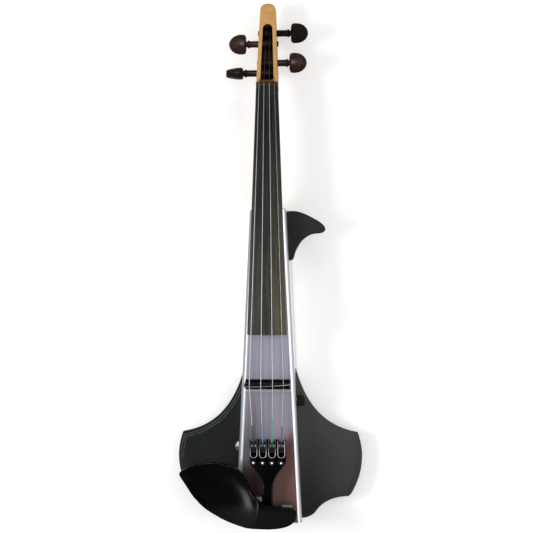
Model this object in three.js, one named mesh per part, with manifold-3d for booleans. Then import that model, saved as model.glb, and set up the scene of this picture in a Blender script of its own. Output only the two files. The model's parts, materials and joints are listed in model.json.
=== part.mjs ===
// An electric violin: a maple neck and head on a folded aluminium body that carries two covered wings.
// Millimetres. The instrument lies on its back: +Z towards the strings, +Y towards the head, +X to the
// treble side. The origin is on the outer face of the back cover, under the line of the bridge.
import * as THREE from "three";
import { mergeVertices } from "three/addons/utils/BufferGeometryUtils.js";
import Module from "manifold-3d";

const wasm = await Module();
wasm.setup();

// Clearances
const fit_gap = 0.3; // between pieces that touch or turn in each other
const cut_over = 1; // how far a cut runs past a face

// Body: a folded channel, open at the back, that widens towards the tail
const string_length = 328; // nut to bridge
const body_head_reach = 193; // bridge to the head end of the body
const body_tail_reach = 153; // bridge to the tail end of the body
const body_head_half = 20.4;
const body_tail_half = 36.9;
const body_depth = 38;
const sheet = 2;
const fold_radius = 6;
const body_corner = 4; // plan radius of the front face at the head end
const cover_sheet = 2;
const tail_block_length = 22;

// Neck, fingerboard and nut
const neck_overstand = 5.9; // fingerboard underside above the front face, at the head end of the body
const neck_pitch = THREE.MathUtils.degToRad(2.03);
const neck_depth_nut = 12; // wood under the fingerboard at the nut
const neck_depth_heel = 13.5;
const heel_length = 30;
const heel_foot_half = 12;
const tenon_length = 58;
const board_end_reach = 55; // bridge to the free end of the fingerboard
const board_nut_half = 12.1;
const board_end_half = 21.8;
const board_side = 5.5;
const board_radius = 42;
const hollow_depth = 2.6; // under the free end
const nut_length = 4.8;
const nut_half = 12;
const nut_rise = 0.9; // nut above the fingerboard
const neck_edge = 1.2; // square edge of the neck beside the fingerboard
const hollow_stop = 8; // end of the hollow before the head end of the body
const board_rail = 5; // solid edge beside the hollow
const hollow_shares = [0.8, 0.7, 1.6];

// Head and pegs
const head_reach = 94.4; // nut front to the tip
const head_drop = THREE.MathUtils.degToRad(10);
const head_top_drop = 1.5; // cheek tops below the fingerboard crown, behind the nut
const head_nut_half = 12.1;
const head_tip_half = 8.2;
const head_nut_depth = 20.5;
const head_tip_depth = 16;
const slot_head_half = 5.2;
const slot_nut_half = 7.5;
const slot_start = 7.3; // nut front to the near end of the peg slot
const slot_length = 63.6;
const slot_corner = 2.5;
const slot_floor = 2.8; // wood under the slot
const head_lap = 4; // head wood that runs back under the fingerboard
const throat_reach = 16.3; // nut front to where the curve of the neck meets the underside of the head
const head_tip_round = 4;
const head_edge = 1;
const head_round_share = 0.85; // of the tip's half width, where the rounded end begins
const head_tip_shares = [0.35, 0.6];
const peg_radius_head = 3.7; // shaft radius at the cheek beside the thumb piece
const peg_radius_tip = 3.2;
const peg_below_top = 9.5; // peg axis below the top of the cheeks
const peg_collar_radius = 4.4;
const peg_collar_length = 2;
const thumb_length = 19;
const thumb_half = 11.1;
const thumb_thick_inner = 6.6;
const thumb_thick_outer = 4.6;
const peg_chamfer = 0.6; // at the tip and round the collar
// Along the thumb piece, with its half width and thickness, from the collar to the widest place
const thumb_root_shares = [
  [0, 0.8, 0.85],
  [0.06, 0.93, 1],
  [0.21, 1, 0.98],
];
const thumb_round_share = 0.32; // of its length, where the rounded end begins
const thumb_edge_share = 0.35; // of its thickness, left at the rim
const thumb_edge_power = 0.2; // how late the thumb piece thins towards the rim
const thumb_tip_shares = [0.12, 0.6];

// Strings, from the bass side: G, D, A, E
const string_names = ["g", "d", "a", "e"];
const string_diameters = [0.8, 0.75, 0.7, 0.3];
const nut_string_half = 8.5;
const bridge_string_half = 18.6;
const nut_string_shares = [-1, -0.35, 0.34, 1];
const bridge_string_shares = [-1, -0.31, 0.38, 1];
const peg_from_nut = [16, 49.2, 61.3, 27.4]; // nut front to each peg axis
const peg_side = [-1, -1, 1, 1]; // which cheek the thumb piece is on
const peg_neck_lengths = [15.9, 14.3, 15.9, 13.2]; // bare shaft between cheek and thumb piece
const peg_tips_out = [-0.8, 1.6, 1.6, 1]; // shaft past the far cheek
const thumb_turn_shares = [0.5, 0, 0, 0]; // of half a turn, where each thumb piece was left
const nut_action = 0.5; // string above the fingerboard at the nut
const winding_turns = 3;
const winding_space = 0.5; // between neighbouring turns
const winding_to_cheek = 3.2; // from the string that comes to the peg
const silk_diameter = 1.15;
const silk_lengths = [21.8, 23.3, 31.8, 21.8]; // ball to the end of each silk wrap

// Bridge
const bridge_height = 29.5;
const bridge_half = 24.8;
const bridge_crown_radius = 42;
const bridge_base_half = 5.2; // along the strings
const bridge_crown_half = 2;
const bridge_base_height = 7;
const bridge_side_shares = [0.7, 0.6];
const pickup_half = 21;
const pickup_width = 3;
const pickup_height = 1.6;

// Tailpiece and its four fine tuners
const tailpiece_length = 78;
const tailpiece_half = 20;
const tailpiece_stem_half = 5.4;
const tailpiece_shoulder = 26; // length of the wide part
const tailpiece_curve_shares = [0.95, 0.32, 0.2, 1.15];
const tailpiece_lift = 6; // underside above the front face
const tailpiece_thickness = 7;
const tuner_pitch = 10.15;
const tuner_slot = 6.6;
const tuner_slot_length = 19.3;
const tuner_pivot_back = 9.8; // head end of the tailpiece to the pivot pin
const tuner_pin_radius = 1;
const tuner_screw_back = 24.8;
const tuner_screw_radius = 1.5;
const tuner_knob_radius = 3.2;
const tuner_knob_height = 4.2;
const driver_slot_half = 0.4;
const driver_slot_depth = 0.8;
const lever_half = 3;
const lever_nose = 8; // pivot to the face of the fork
const lever_prong = 3; // thickness of the fork
const lever_fork_top = 7; // fork above the pivot
const lever_seat = 3.4; // ball seat above the pivot
const lever_back = 6;
const lever_arm = 18;
const lever_sole = 4.5; // underside below the pivot
const lever_arm_thickness = 2.2;
const ball_radius = 1.5;
const ball_half = 1.25;

// Tail cord and its post
const tail_cord_radius = 1;
const tail_cord_half = 3.1;
const tail_post_radius = 2.1;
const tail_post_head_radius = 4;
const tail_post_head = 2;
const tail_post_back = 9; // tailpiece end to the post axis
const tail_post_inset = 5.8; // tail end of the body to the post axis
const tail_stud_radius = 2;
const tail_stud_depth = 14;

// Chinrest: cup to the bass side, arm over the tailpiece
const chin_left = 95.6; // centreline to the bass edge
const chin_right = 32.1;
const chin_length = 70.9; // along the strings
const chin_past = 2.8; // past the tail end of the body
const chin_rim = 27.5; // rim above the front face
const chin_dish = 9; // depth of the cup
const chin_wall = 6.5; // thickness under the cup
const chin_arm_thickness = 10;
const chin_foot_width = 10;
const chin_foot_length = 16;
const chin_foot_x = [-11.2, 21.4];
const chin_foot_inset = [22.5, 14.5]; // tail end of the body to the middle of each foot
const chin_stud_radius = 2.5;
const chin_stud_depth = 12;
const chin_stud_back = 5;

// Wings and fin
const wing_reach = 98.1; // centreline to the upper corner
const wing_bulge = 8; // outer edge past the line between its two corners
const wing_length = 170.1;
const wing_corner_up = 96.2; // tail end of the wing to its upper corner
const wing_foot_up = 28.3;
const wing_foot_x = 91.1;
const wing_waist_up = 7.5;
const wing_waist_x = 51.1;
const wing_tail_inset = 1.1; // tail end of the body to that of the wing
const wing_bottom = 6;
const wing_thickness = 12;
const wing_foot_corner = 3.2;
const wing_waist_corner = 4.5;
const wing_curve_shares = [0.23, 0.118, 0.27, 1.3];
const wing_bevel = 5.5;
const wing_bevel_drop = 2.4;
const wing_screw_up = [116.9, 31.9]; // tail end of the wing to each screw
const fin_reach = 42.6; // body wall to the outer point
const fin_inset = 1; // head end of the body to that of the fin
const fin_length = 55.5;
const fin_bottom = 20;
const fin_thickness = 13;
const fin_bevel = 1.6;
const fin_screw_down = [10, 32]; // head end of the fin to each screw
const side_screw_radius = 1.5;
const side_screw_head = 3;
const side_screw_head_length = 2;
const side_screw_depth = 10;

// Controls and electrics
const jack_y = -69.8;
const jack_z = 26;
const jack_bush_radius = 4.1;
const jack_bore_radius = 3.3;
const jack_nut_radius = 5.9;
const jack_nut_length = 2.4;
const jack_bush_out = 4.4; // bush past the outside of the wall
const jack_body = 12;
const jack_body_length = 24;
const knob_y = -18.9;
const knob_z = 25.5;
const knob_radius = 6.2;
const knob_length = 8.2;
const knob_end_share = 0.94; // radius of the outer end
const knob_line_share = 0.3; // of the radius, where the pointer line starts
const knob_line_half = 0.5;
const pot_radius = 6.5;
const pot_length = 8;
const pot_bush_radius = 3.4;
const pot_shaft_radius = 2.4;
const pot_shaft_out = 5.5;
const board_half = 19;
const board_length = 40;
const board_start_y = 8;
const board_thickness = 1.6;
const board_lift = 6;
const boss_radius = 2.4;
const battery_half = 13.25;
const battery_length = 48.5;
const battery_height = 17.5;
const battery_inset = 2.5; // tail block to the cell
const battery_box_wall = 1.4;
const battery_box_height = 12;
const wire_radius = 0.9;
const wire_hole_radius = 2;
const plug_size = 6;

// Back screws
const cover_screw_radius = 1.6;
const cover_screw_head = 3.2;
const cover_screw_length = 14;
const cover_screw_inset = 11;
const neck_screw_radius = 2.4;
const neck_screw_head = 4.6;
const neck_screw_length = 26;
const neck_screw_down = [13, 43]; // head end of the body to each screw

// Positions that follow from the sizes
const plate_z = body_depth;
const head_y = body_head_reach;
const tail_y = -body_tail_reach;
const nut_y = string_length;
const wall_bottom = cover_sheet + fit_gap;
const halfAt = (y) =>
  THREE.MathUtils.mapLinear(y, tail_y, head_y, body_tail_half, body_head_half);
// Half the clear width between the walls, at a station and all nearer the tail
const insideAt = (y) => halfAt(y) - sheet - fit_gap;
const sag = (half, radius) => radius - Math.sqrt(radius * radius - half * half);
const boardHalf = (y) =>
  THREE.MathUtils.mapLinear(y, board_end_reach, nut_y, board_end_half, board_nut_half);
const boardUnder = (y) => plate_z + neck_overstand - (y - head_y) * Math.tan(neck_pitch);
const boardCrown = (y) => boardUnder(y) + board_side + sag(boardHalf(y), board_radius);
const nut_back_y = nut_y + fit_gap + nut_length;
const cheek_z = boardCrown(nut_y) - head_top_drop - nut_rise;
const cheekTop = (y) => cheek_z - (y - nut_back_y) * Math.tan(head_drop);
const headDepth = (y) =>
  THREE.MathUtils.mapLinear(y, nut_y, nut_y + head_reach, head_nut_depth, head_tip_depth);
const headUnder = (y) => cheekTop(y) - headDepth(y);
const slotHalf = (y) =>
  THREE.MathUtils.mapLinear(
    y,
    nut_y + slot_start,
    nut_y + slot_start + slot_length,
    slot_nut_half,
    slot_head_half,
  );
const headHalf = (y) =>
  THREE.MathUtils.mapLinear(y, nut_y, nut_y + head_reach, head_nut_half, head_tip_half);
const tail_post_y = tail_y + tail_post_inset;
const tailpiece_y = tail_post_y + tail_post_back + tailpiece_length;
const tailpiece_bottom = plate_z + tailpiece_lift;
const tailpiece_top = tailpiece_bottom + tailpiece_thickness;
const tailpiece_end_y = tailpiece_y - tailpiece_length;
const pivot_y = tailpiece_y - tuner_pivot_back;
const pivot_z = tailpiece_bottom - fit_gap + lever_sole - lever_arm_thickness;
const tuner_y = tailpiece_y - tuner_screw_back;
const tunerX = (i) => (i - (string_names.length - 1) / 2) * tuner_pitch;
const ball_y = pivot_y + lever_nose - lever_prong - ball_radius - fit_gap;
const ball_z = pivot_z + lever_seat + ball_radius + fit_gap;
const wing_top = wing_bottom + wing_thickness;
const wing_end_y = tail_y + wing_tail_inset;
const wing_waist_y = wing_end_y + wing_waist_up;
const wing_foot_y = wing_end_y + wing_foot_up;
const wing_corner_y = wing_end_y + wing_corner_up;
const wing_head_y = wing_end_y + wing_length;
const fin_head_y = head_y - fin_inset;
const battery_tail_y = tail_y + tail_block_length + battery_inset;

// A closed mesh as a solid
function solidOf(geometry) {
  const bare = geometry.index ? geometry.toNonIndexed() : geometry.clone();
  bare.deleteAttribute("normal");
  bare.deleteAttribute("uv");
  const merged = mergeVertices(bare, 1e-4);
  const made = new wasm.Manifold(
    new wasm.Mesh({
      numProp: 3,
      vertProperties: merged.attributes.position.array,
      triVerts: new Uint32Array(merged.index.array),
    }),
  );
  return made;
}

function boxBetween(x0, x1, y0, y1, z0, z1) {
  const box = new THREE.BoxGeometry(x1 - x0, y1 - y0, z1 - z0);
  box.translate((x0 + x1) / 2, (y0 + y1) / 2, (z0 + z1) / 2);
  return solidOf(box);
}

// A plan outline raised from z0 to z1
function prism(shape, z0, z1, curveSegments = 8) {
  const raised = new THREE.ExtrudeGeometry(shape, {
    depth: z1 - z0,
    bevelEnabled: false,
    curveSegments,
  });
  raised.translate(0, 0, z0);
  return solidOf(raised);
}

// An outline in Y and Z, drawn out along X
function prismAlongX(shape, x0, x1, curveSegments = 8) {
  const drawn = new THREE.ExtrudeGeometry(shape, {
    depth: x1 - x0,
    bevelEnabled: false,
    curveSegments,
  });
  drawn.applyMatrix4(new THREE.Matrix4().set(0, 0, 1, x0, 1, 0, 0, 0, 0, 1, 0, 0, 0, 0, 0, 1));
  return solidOf(drawn);
}

// An outline in X and Z, drawn out along Y
function prismAlongY(shape, y0, y1, curveSegments = 8) {
  const drawn = new THREE.ExtrudeGeometry(shape, {
    depth: y1 - y0,
    bevelEnabled: false,
    curveSegments,
  });
  drawn.rotateX(Math.PI / 2);
  drawn.translate(0, y1, 0);
  return solidOf(drawn);
}

// A round rod between two points
function rod(from, to, radius, sides = 20, endRadius = radius) {
  const along = new THREE.Vector3().subVectors(to, from);
  const bar = new THREE.CylinderGeometry(endRadius, radius, along.length(), sides);
  bar.translate(0, along.length() / 2, 0);
  const turn = new THREE.Quaternion().setFromUnitVectors(
    new THREE.Vector3(0, 1, 0),
    along.clone().normalize(),
  );
  bar.applyQuaternion(turn);
  bar.translate(from.x, from.y, from.z);
  return solidOf(bar);
}

const vec = (x, y, z) => new THREE.Vector3(x, y, z);

// A closed skin over a row of rings with equal numbers of points; flatten gives a ring's plane
function loft(rings, flatten) {
  const count = rings[0].length;
  const points = rings.flat();
  const faces = [];
  for (let r = 0; r + 1 < rings.length; r += 1) {
    for (let i = 0; i < count; i += 1) {
      const a = r * count + i;
      const b = r * count + ((i + 1) % count);
      faces.push(a, b, b + count, a, b + count, a + count);
    }
  }
  const last = (rings.length - 1) * count;
  THREE.ShapeUtils.triangulateShape(rings[0].map(flatten), []).forEach(([a, b, c]) => {
    faces.push(a, c, b);
  });
  THREE.ShapeUtils.triangulateShape(rings[rings.length - 1].map(flatten), []).forEach(([a, b, c]) => {
    faces.push(last + a, last + b, last + c);
  });
  const winding = THREE.ShapeUtils.area(rings[0].map(flatten));
  if (winding < 0) {
    for (let i = 2 * count * 3 * (rings.length - 1); i < faces.length; i += 3) {
      [faces[i + 1], faces[i + 2]] = [faces[i + 2], faces[i + 1]];
    }
  }
  const skin = new THREE.BufferGeometry();
  skin.setAttribute(
    "position",
    new THREE.Float32BufferAttribute(
      points.flatMap((p) => [p.x, p.y, p.z]),
      3,
    ),
  );
  skin.setIndex(faces);
  return turnedOut(skin);
}

// The same skin with its faces pointing out
function turnedOut(skin) {
  const at = skin.attributes.position;
  const index = skin.index.array;
  const corner = (i) => vec(at.getX(index[i]), at.getY(index[i]), at.getZ(index[i]));
  let volume = 0;
  for (let i = 0; i < index.length; i += 3) {
    volume += corner(i).dot(corner(i + 1).cross(corner(i + 2)));
  }
  if (volume < 0) {
    for (let i = 0; i < index.length; i += 3) {
      [index[i + 1], index[i + 2]] = [index[i + 2], index[i + 1]];
    }
  }
  return skin;
}

// A round tube along points, mitred at each one; radii may differ from point to point
function tube(points, radii, sides) {
  const first = vec(0, 0, 0).subVectors(points[1], points[0]).normalize();
  const side = Math.abs(first.z) < 0.9 ? vec(0, 0, 1) : vec(1, 0, 0);
  let across = side.clone().cross(first).normalize();
  const rings = points.map((p, i) => {
    const back = i > 0 ? p.clone().sub(points[i - 1]).normalize() : first.clone();
    const ahead = i + 1 < points.length ? points[i + 1].clone().sub(p).normalize() : back.clone();
    if (i > 0) across.addScaledVector(back, -across.dot(back)).normalize();
    const up = back.clone().cross(across);
    const mitre = back.clone().add(ahead).normalize();
    const radius = Array.isArray(radii) ? radii[i] : radii;
    const ring = [];
    for (let k = 0; k < sides; k += 1) {
      const turn = (2 * Math.PI * k) / sides;
      const out = across
        .clone()
        .multiplyScalar(Math.cos(turn) * radius)
        .addScaledVector(up, Math.sin(turn) * radius);
      out.addScaledVector(back, -out.dot(mitre) / back.dot(mitre));
      ring.push(p.clone().add(out));
    }
    return ring;
  });
  const count = sides;
  const faces = [];
  for (let r = 0; r + 1 < rings.length; r += 1) {
    for (let i = 0; i < count; i += 1) {
      const a = r * count + i;
      const b = r * count + ((i + 1) % count);
      faces.push(a, b, b + count, a, b + count, a + count);
    }
  }
  const last = (rings.length - 1) * count;
  for (let i = 1; i + 1 < count; i += 1) {
    faces.push(0, i + 1, i, last, last + i, last + i + 1);
  }
  const skin = new THREE.BufferGeometry();
  skin.setAttribute(
    "position",
    new THREE.Float32BufferAttribute(
      rings.flat().flatMap((p) => [p.x, p.y, p.z]),
      3,
    ),
  );
  skin.setIndex(faces);
  return turnedOut(skin);
}

const onXZ = (p) => new THREE.Vector2(p.x, p.z);
const onYZ = (p) => new THREE.Vector2(p.y, p.z);

const violin = new THREE.Group();

// A solid, or a closed geometry, as a named mesh
function addPiece(name, made, material, parent = violin) {
  let geometry = made;
  if (!made.isBufferGeometry) {
    const mesh = made.getMesh();
    const points = new Float32Array(mesh.numVert * 3);
    for (let i = 0; i < mesh.numVert; i += 1) {
      points.set(mesh.vertProperties.subarray(i * mesh.numProp, i * mesh.numProp + 3), i * 3);
    }
    geometry = new THREE.BufferGeometry();
    geometry.setAttribute("position", new THREE.BufferAttribute(points, 3));
    geometry.setIndex(new THREE.BufferAttribute(mesh.triVerts, 1));
  }
  geometry.computeVertexNormals();
  const piece = new THREE.Mesh(geometry, material);
  piece.name = name;
  parent.add(piece);
  return piece;
}

const finish = (color, roughness, metalness = 0) =>
  new THREE.MeshStandardMaterial({ color, roughness, metalness });
const maple = finish(0xd7b784, 0.35);
const ebony = finish(0x2a2c28, 0.45);
const rosewood = finish(0x2c1a17, 0.3);
const aluminium = finish(0xb9bcc6, 0.25, 1);
const steel = finish(0xc9cbd0, 0.3, 1);
const black_steel = finish(0x1a1b1d, 0.35, 1);
const gold = finish(0xcfa95a, 0.3, 1);
const gloss_black = finish(0x0b0b0d, 0.2);
const satin_black = finish(0x121214, 0.45);
const grained_black = finish(0x23282a, 0.7);
const string_steel = finish(0xb7b9bd, 0.35, 1);
const brass = finish(0xb8923f, 0.35, 1);
const nylon = finish(0x1b1b1d, 0.5);
const green_board = finish(0x1f4a33, 0.6);
const battery_skin = finish(0x3a3d42, 0.4);
const brown_knob = finish(0x3a211b, 0.4);
const cover_black = finish(0x1d1f21, 0.6);

// Strings: where each one runs
const stringX = (i, y) =>
  THREE.MathUtils.mapLinear(
    y,
    0,
    nut_y,
    bridge_string_shares[i] * bridge_string_half,
    nut_string_shares[i] * nut_string_half,
  );
const crown_z = plate_z + bridge_height;
const strings = string_names.map((name, i) => {
  const radius = string_diameters[i] / 2;
  const nut_x = stringX(i, nut_y);
  const bridge_x = stringX(i, 0);
  const nut_z =
    boardCrown(nut_y) - sag(nut_x, board_radius) + nut_action + radius;
  const bridge_z = crown_z - sag(bridge_x, bridge_crown_radius);
  const peg_y = nut_y + peg_from_nut[i];
  const peg_z = cheekTop(peg_y) - peg_below_top;
  const side = peg_side[i];
  const pitch = string_diameters[i] + winding_space;
  const wind_radius = peg_radius_head + fit_gap + radius;
  const arrive_x = slotHalf(peg_y) - winding_to_cheek - radius;
  const over_y = nut_back_y;
  const run = peg_y - over_y;
  const fall = peg_z - nut_z;
  const distance = Math.hypot(run, fall);
  const to_peg = Math.atan2(fall, run);
  const lean = Math.asin(wind_radius / distance);
  const touch = to_peg + lean; // direction of the string as it meets the peg
  const arrive = vec(
    side * arrive_x,
    peg_y - wind_radius * Math.sin(touch),
    peg_z + wind_radius * Math.cos(touch),
  );
  return {
    name,
    i,
    radius,
    side,
    pitch,
    peg_y,
    peg_z,
    touch,
    wind_radius,
    wind_start_x: arrive_x - pitch,
    over: vec(nut_x, over_y, nut_z),
    nut: vec(nut_x, nut_y, nut_z),
    bridge: vec(bridge_x, 0, bridge_z),
    ball: vec(tunerX(i), ball_y, ball_z),
    arrive,
  };
});

// The line of a string from its ball end, over the bridge and the nut, to its peg
function stringRoute(s, grow = 0) {
  const down = s.bridge.clone().sub(s.ball);
  const start = s.ball
    .clone()
    .addScaledVector(down.clone().normalize(), ball_radius + fit_gap);
  const silk_end = s.ball.clone().addScaledVector(down.clone().normalize(), silk_lengths[s.i]);
  const silk_taper = silk_end.clone().addScaledVector(down.clone().normalize(), silk_diameter);
  const points = [start, silk_end, silk_taper, s.bridge, s.nut, s.over, s.arrive];
  const radii = points.map((p, i) => (i < 2 ? silk_diameter / 2 : s.radius) + grow);
  return { points, radii };
}

function stringTube(s, grow = 0, sides = 6) {
  const { points, radii } = stringRoute(s, grow);
  return tube(points, radii, sides);
}

// Room for a string where it crosses the nut or the bridge
const stringRoom = (s) => solidOf(stringTube(s, fit_gap, 8));

// The turns of a string on its peg: in from the cheek along the shaft, then into the hole in it
function windingPoints(s) {
  const steps = 24;
  const points = [];
  const start_turn = s.touch + Math.PI / 2;
  const at = (turn, x) =>
    vec(
      s.side * x,
      s.peg_y + s.wind_radius * Math.cos(turn),
      s.peg_z + s.wind_radius * Math.sin(turn),
    );
  const total = winding_turns * steps;
  const lead = vec(0, -Math.cos(s.touch), -Math.sin(s.touch)).multiplyScalar(2 * s.radius);
  points.push(at(start_turn, s.wind_start_x).add(lead));
  for (let k = 0; k <= total; k += 1) {
    const turn = start_turn - (2 * Math.PI * k) / steps;
    points.push(at(turn, s.wind_start_x - (s.pitch * k) / steps));
  }
  const end = points[points.length - 1];
  const inward = vec(end.x, s.peg_y, s.peg_z).sub(end).normalize();
  points.push(end.clone().addScaledVector(inward, fit_gap + 3 * s.radius));
  return points;
}

// Least space between parts of one winding, measured between its points
function windingGap(points, radius) {
  let least = Infinity;
  for (let i = 0; i < points.length; i += 1) {
    for (let k = i + 8; k < points.length; k += 1) {
      least = Math.min(least, points[i].distanceTo(points[k]) - 2 * radius);
    }
  }
  return least;
}

// Peg: shaft along X from its tip to its thumb piece, with the axis on the piece's own origin
function pegSolid(s) {
  const cheek_x = headHalf(s.peg_y);
  const start = -cheek_x - peg_tips_out[s.i];
  const collar_end = cheek_x + peg_neck_lengths[s.i];
  const collar_start = collar_end - peg_collar_length;
  const thumb_end = collar_end + thumb_length;
  const rows = [
    [start, peg_radius_tip - peg_chamfer, peg_radius_tip - peg_chamfer],
    [start + peg_chamfer, peg_radius_tip, peg_radius_tip],
    [cheek_x + fit_gap, peg_radius_head, peg_radius_head],
    [collar_start - 2 * peg_chamfer, peg_radius_head, peg_radius_head],
    [collar_start, peg_collar_radius - peg_chamfer / 2, peg_collar_radius - peg_chamfer / 2],
    [(collar_start + collar_end) / 2, peg_collar_radius, peg_collar_radius],
    [collar_end - peg_chamfer / 2, peg_collar_radius - peg_chamfer, peg_collar_radius - peg_chamfer],
  ];
  thumb_root_shares.forEach(([along, wide, thick]) => {
    rows.push([collar_end + thumb_length * along, thumb_half * wide, thumb_thick_inner * thick]);
  });
  const root_thick = thumb_thick_inner * thumb_root_shares[thumb_root_shares.length - 1][2];
  const arc_start = collar_end + thumb_length * thumb_round_share;
  const arc_length = thumb_end - arc_start;
  const arc_steps = 8;
  for (let k = 0; k < arc_steps; k += 1) {
    const share = Math.sin(((Math.PI / 2) * k) / arc_steps);
    const shrink = Math.sqrt(1 - share * share);
    const thick = THREE.MathUtils.lerp(root_thick, thumb_thick_outer, share);
    const edge = THREE.MathUtils.lerp(thumb_edge_share, 1, shrink ** thumb_edge_power);
    rows.push([arc_start + arc_length * share, thumb_half * shrink, thick * edge]);
  }
  const [tip_wide, tip_thick] = thumb_tip_shares;
  rows.push([thumb_end, thumb_half * tip_wide, thumb_thick_outer * tip_thick]);
  const sides = 16;
  const axle = vec(1, 0, 0);
  const thumb_turn = thumb_turn_shares[s.i] * Math.PI;
  const rings = rows.map(([x, ry, rz]) => {
    const ring = [];
    for (let k = 0; k < sides; k += 1) {
      const turn = (2 * Math.PI * k) / sides;
      const point = vec(s.side * x, ry * Math.cos(turn), rz * Math.sin(turn));
      ring.push(point.applyAxisAngle(axle, thumb_turn));
    }
    return ring;
  });
  return solidOf(loft(rings, onYZ));
}

// Body channel, as a U section that widens along the body
function channelSection(half) {
  const arc_steps = 5;
  const outer = [];
  const inner = [];
  const inner_radius = fold_radius - sheet;
  for (let k = 0; k <= arc_steps; k += 1) {
    const turn = ((Math.PI / 2) * k) / arc_steps;
    const cos = Math.cos(turn);
    const sin = Math.sin(turn);
    outer.push([half - fold_radius + fold_radius * cos, plate_z - fold_radius + fold_radius * sin]);
    inner.push([half - fold_radius + inner_radius * cos, plate_z - fold_radius + inner_radius * sin]);
  }
  const right = [[half, wall_bottom], ...outer];
  const left = right.map(([x, z]) => [-x, z]).reverse();
  const inside_right = [[half - sheet, wall_bottom], ...inner];
  const inside_left = inside_right.map(([x, z]) => [-x, z]);
  return [...right, ...left, ...inside_left, ...inside_right.reverse()];
}

const ringAt = (points, y) => points.map(([x, z]) => vec(x, y, z));

// Plan of the body with rounded corners at the head end
function bodyPlan() {
  const plan = new THREE.Shape();
  const corner_half = halfAt(head_y - body_corner);
  plan.moveTo(-body_tail_half, tail_y);
  plan.lineTo(body_tail_half, tail_y);
  plan.lineTo(corner_half, head_y - body_corner);
  plan.quadraticCurveTo(body_head_half, head_y, body_head_half - body_corner, head_y);
  plan.lineTo(body_corner - body_head_half, head_y);
  plan.quadraticCurveTo(-body_head_half, head_y, -corner_half, head_y - body_corner);
  plan.closePath();
  return plan;
}

const sideScrews = [];
[-1, 1].forEach((side) => {
  wing_screw_up.forEach((up, k) => {
    sideScrews.push({
      name: `${side < 0 ? "left" : "right"}_wing_screw_${k + 1}`,
      side,
      y: wing_end_y + up,
      z: wing_bottom + wing_thickness / 2,
    });
  });
});
fin_screw_down.forEach((down, k) => {
  sideScrews.push({
    name: `fin_screw_${k + 1}`,
    side: 1,
    y: fin_head_y - down,
    z: fin_bottom + fin_thickness / 2,
  });
});
const underHead = (screw) => insideAt(screw.y + side_screw_head);

// A side screw, or the room it needs
function sideScrewSolid(screw, grow = 0) {
  const x = underHead(screw);
  const at = (along) => vec(screw.side * along, screw.y, screw.z);
  const shank = rod(
    at(x - cut_over),
    at(x + sheet + side_screw_depth + grow),
    side_screw_radius + grow,
    12,
  );
  const head = rod(at(x - side_screw_head_length), at(x), side_screw_head, 12);
  return grow > 0 ? shank : shank.add(head);
}

const jackAt = (x) => vec(-x, jack_y, jack_z);
const knobAt = (x) => vec(x, knob_y, knob_z);
const jack_wall = halfAt(jack_y);
const knob_wall = halfAt(knob_y);

function buildBody() {
  const rings = [tail_y, head_y].map((y) => ringAt(channelSection(halfAt(y)), y));
  let channel = solidOf(loft(rings, onXZ));
  channel = channel.intersect(prism(bodyPlan(), 0, plate_z + cut_over, 5));
  sideScrews.forEach((screw) => {
    channel = channel.subtract(sideScrewSolid(screw, fit_gap));
  });
  const jack_hole = rod(
    jackAt(jack_wall - sheet - cut_over),
    jackAt(jack_wall + cut_over),
    jack_bush_radius + fit_gap,
  );
  const pot_hole = rod(
    knobAt(knob_wall - sheet - cut_over),
    knobAt(knob_wall + cut_over),
    pot_bush_radius + fit_gap,
  );
  const wire_hole = rod(
    vec(0, 0, plate_z - sheet - cut_over),
    vec(0, 0, plate_z + cut_over),
    wire_hole_radius,
    12,
  );
  channel = channel.subtract(jack_hole).subtract(pot_hole).subtract(wire_hole);
  tailStuds().forEach((stud) => {
    channel = channel.subtract(
      rod(
        vec(stud.x, stud.y, plate_z - sheet - cut_over),
        vec(stud.x, stud.y, plate_z + cut_over),
        stud.radius + fit_gap,
        16,
      ),
    );
  });
  addPiece("body_channel", channel, aluminium);
}

// Studs that stand in the tail block: the tail post and the two feet of the chinrest
function tailStuds() {
  const studs = chin_foot_x.map((x, k) => ({
    x,
    y: tail_y + chin_foot_inset[k] - chin_stud_back * (k === 0 ? 1 : 0),
    radius: chin_stud_radius,
    depth: chin_stud_depth,
  }));
  studs.push({
    x: 0,
    y: tail_post_y,
    radius: tail_stud_radius,
    depth: tail_stud_depth,
  });
  return studs;
}

const cover_screws = [-1, 1].map((side) => ({
  name: `cover_screw_${side < 0 ? 1 : 2}`,
  x: side * (body_tail_half - cover_screw_inset),
  y: tail_y + tail_block_length / 2,
  radius: cover_screw_radius,
  head: cover_screw_head,
  length: cover_screw_length,
}));
const neck_screws = neck_screw_down.map((down, k) => ({
  name: `neck_screw_${k + 1}`,
  x: 0,
  y: head_y - down,
  radius: neck_screw_radius,
  head: neck_screw_head,
  length: neck_screw_length,
}));
const back_screws = [...cover_screws, ...neck_screws];

// A countersunk screw that goes in from the back, or the room it needs
function backScrewSolid(screw, grow = 0) {
  const head = rod(
    vec(screw.x, screw.y, fit_gap),
    vec(screw.x, screw.y, cover_sheet),
    screw.head + grow,
    16,
    screw.radius + grow,
  );
  const shank = rod(
    vec(screw.x, screw.y, cover_sheet - cut_over),
    vec(screw.x, screw.y, screw.length + grow),
    screw.radius + grow,
    16,
  );
  const mouth = rod(
    vec(screw.x, screw.y, -cut_over),
    vec(screw.x, screw.y, fit_gap),
    screw.head + grow,
    16,
  );
  return grow > 0 ? head.add(shank).add(mouth) : head.add(shank);
}

const door_half = battery_half + fit_gap;
const door_tail_y = battery_tail_y - fit_gap;
const door_head_y = battery_tail_y + battery_length + fit_gap;
const boss_xs = [-1, 1].map((side) => side * (board_half - boss_radius - cut_over));
const boss_ys = [
  board_start_y + boss_radius + cut_over,
  board_start_y + board_length - boss_radius - cut_over,
];

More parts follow.
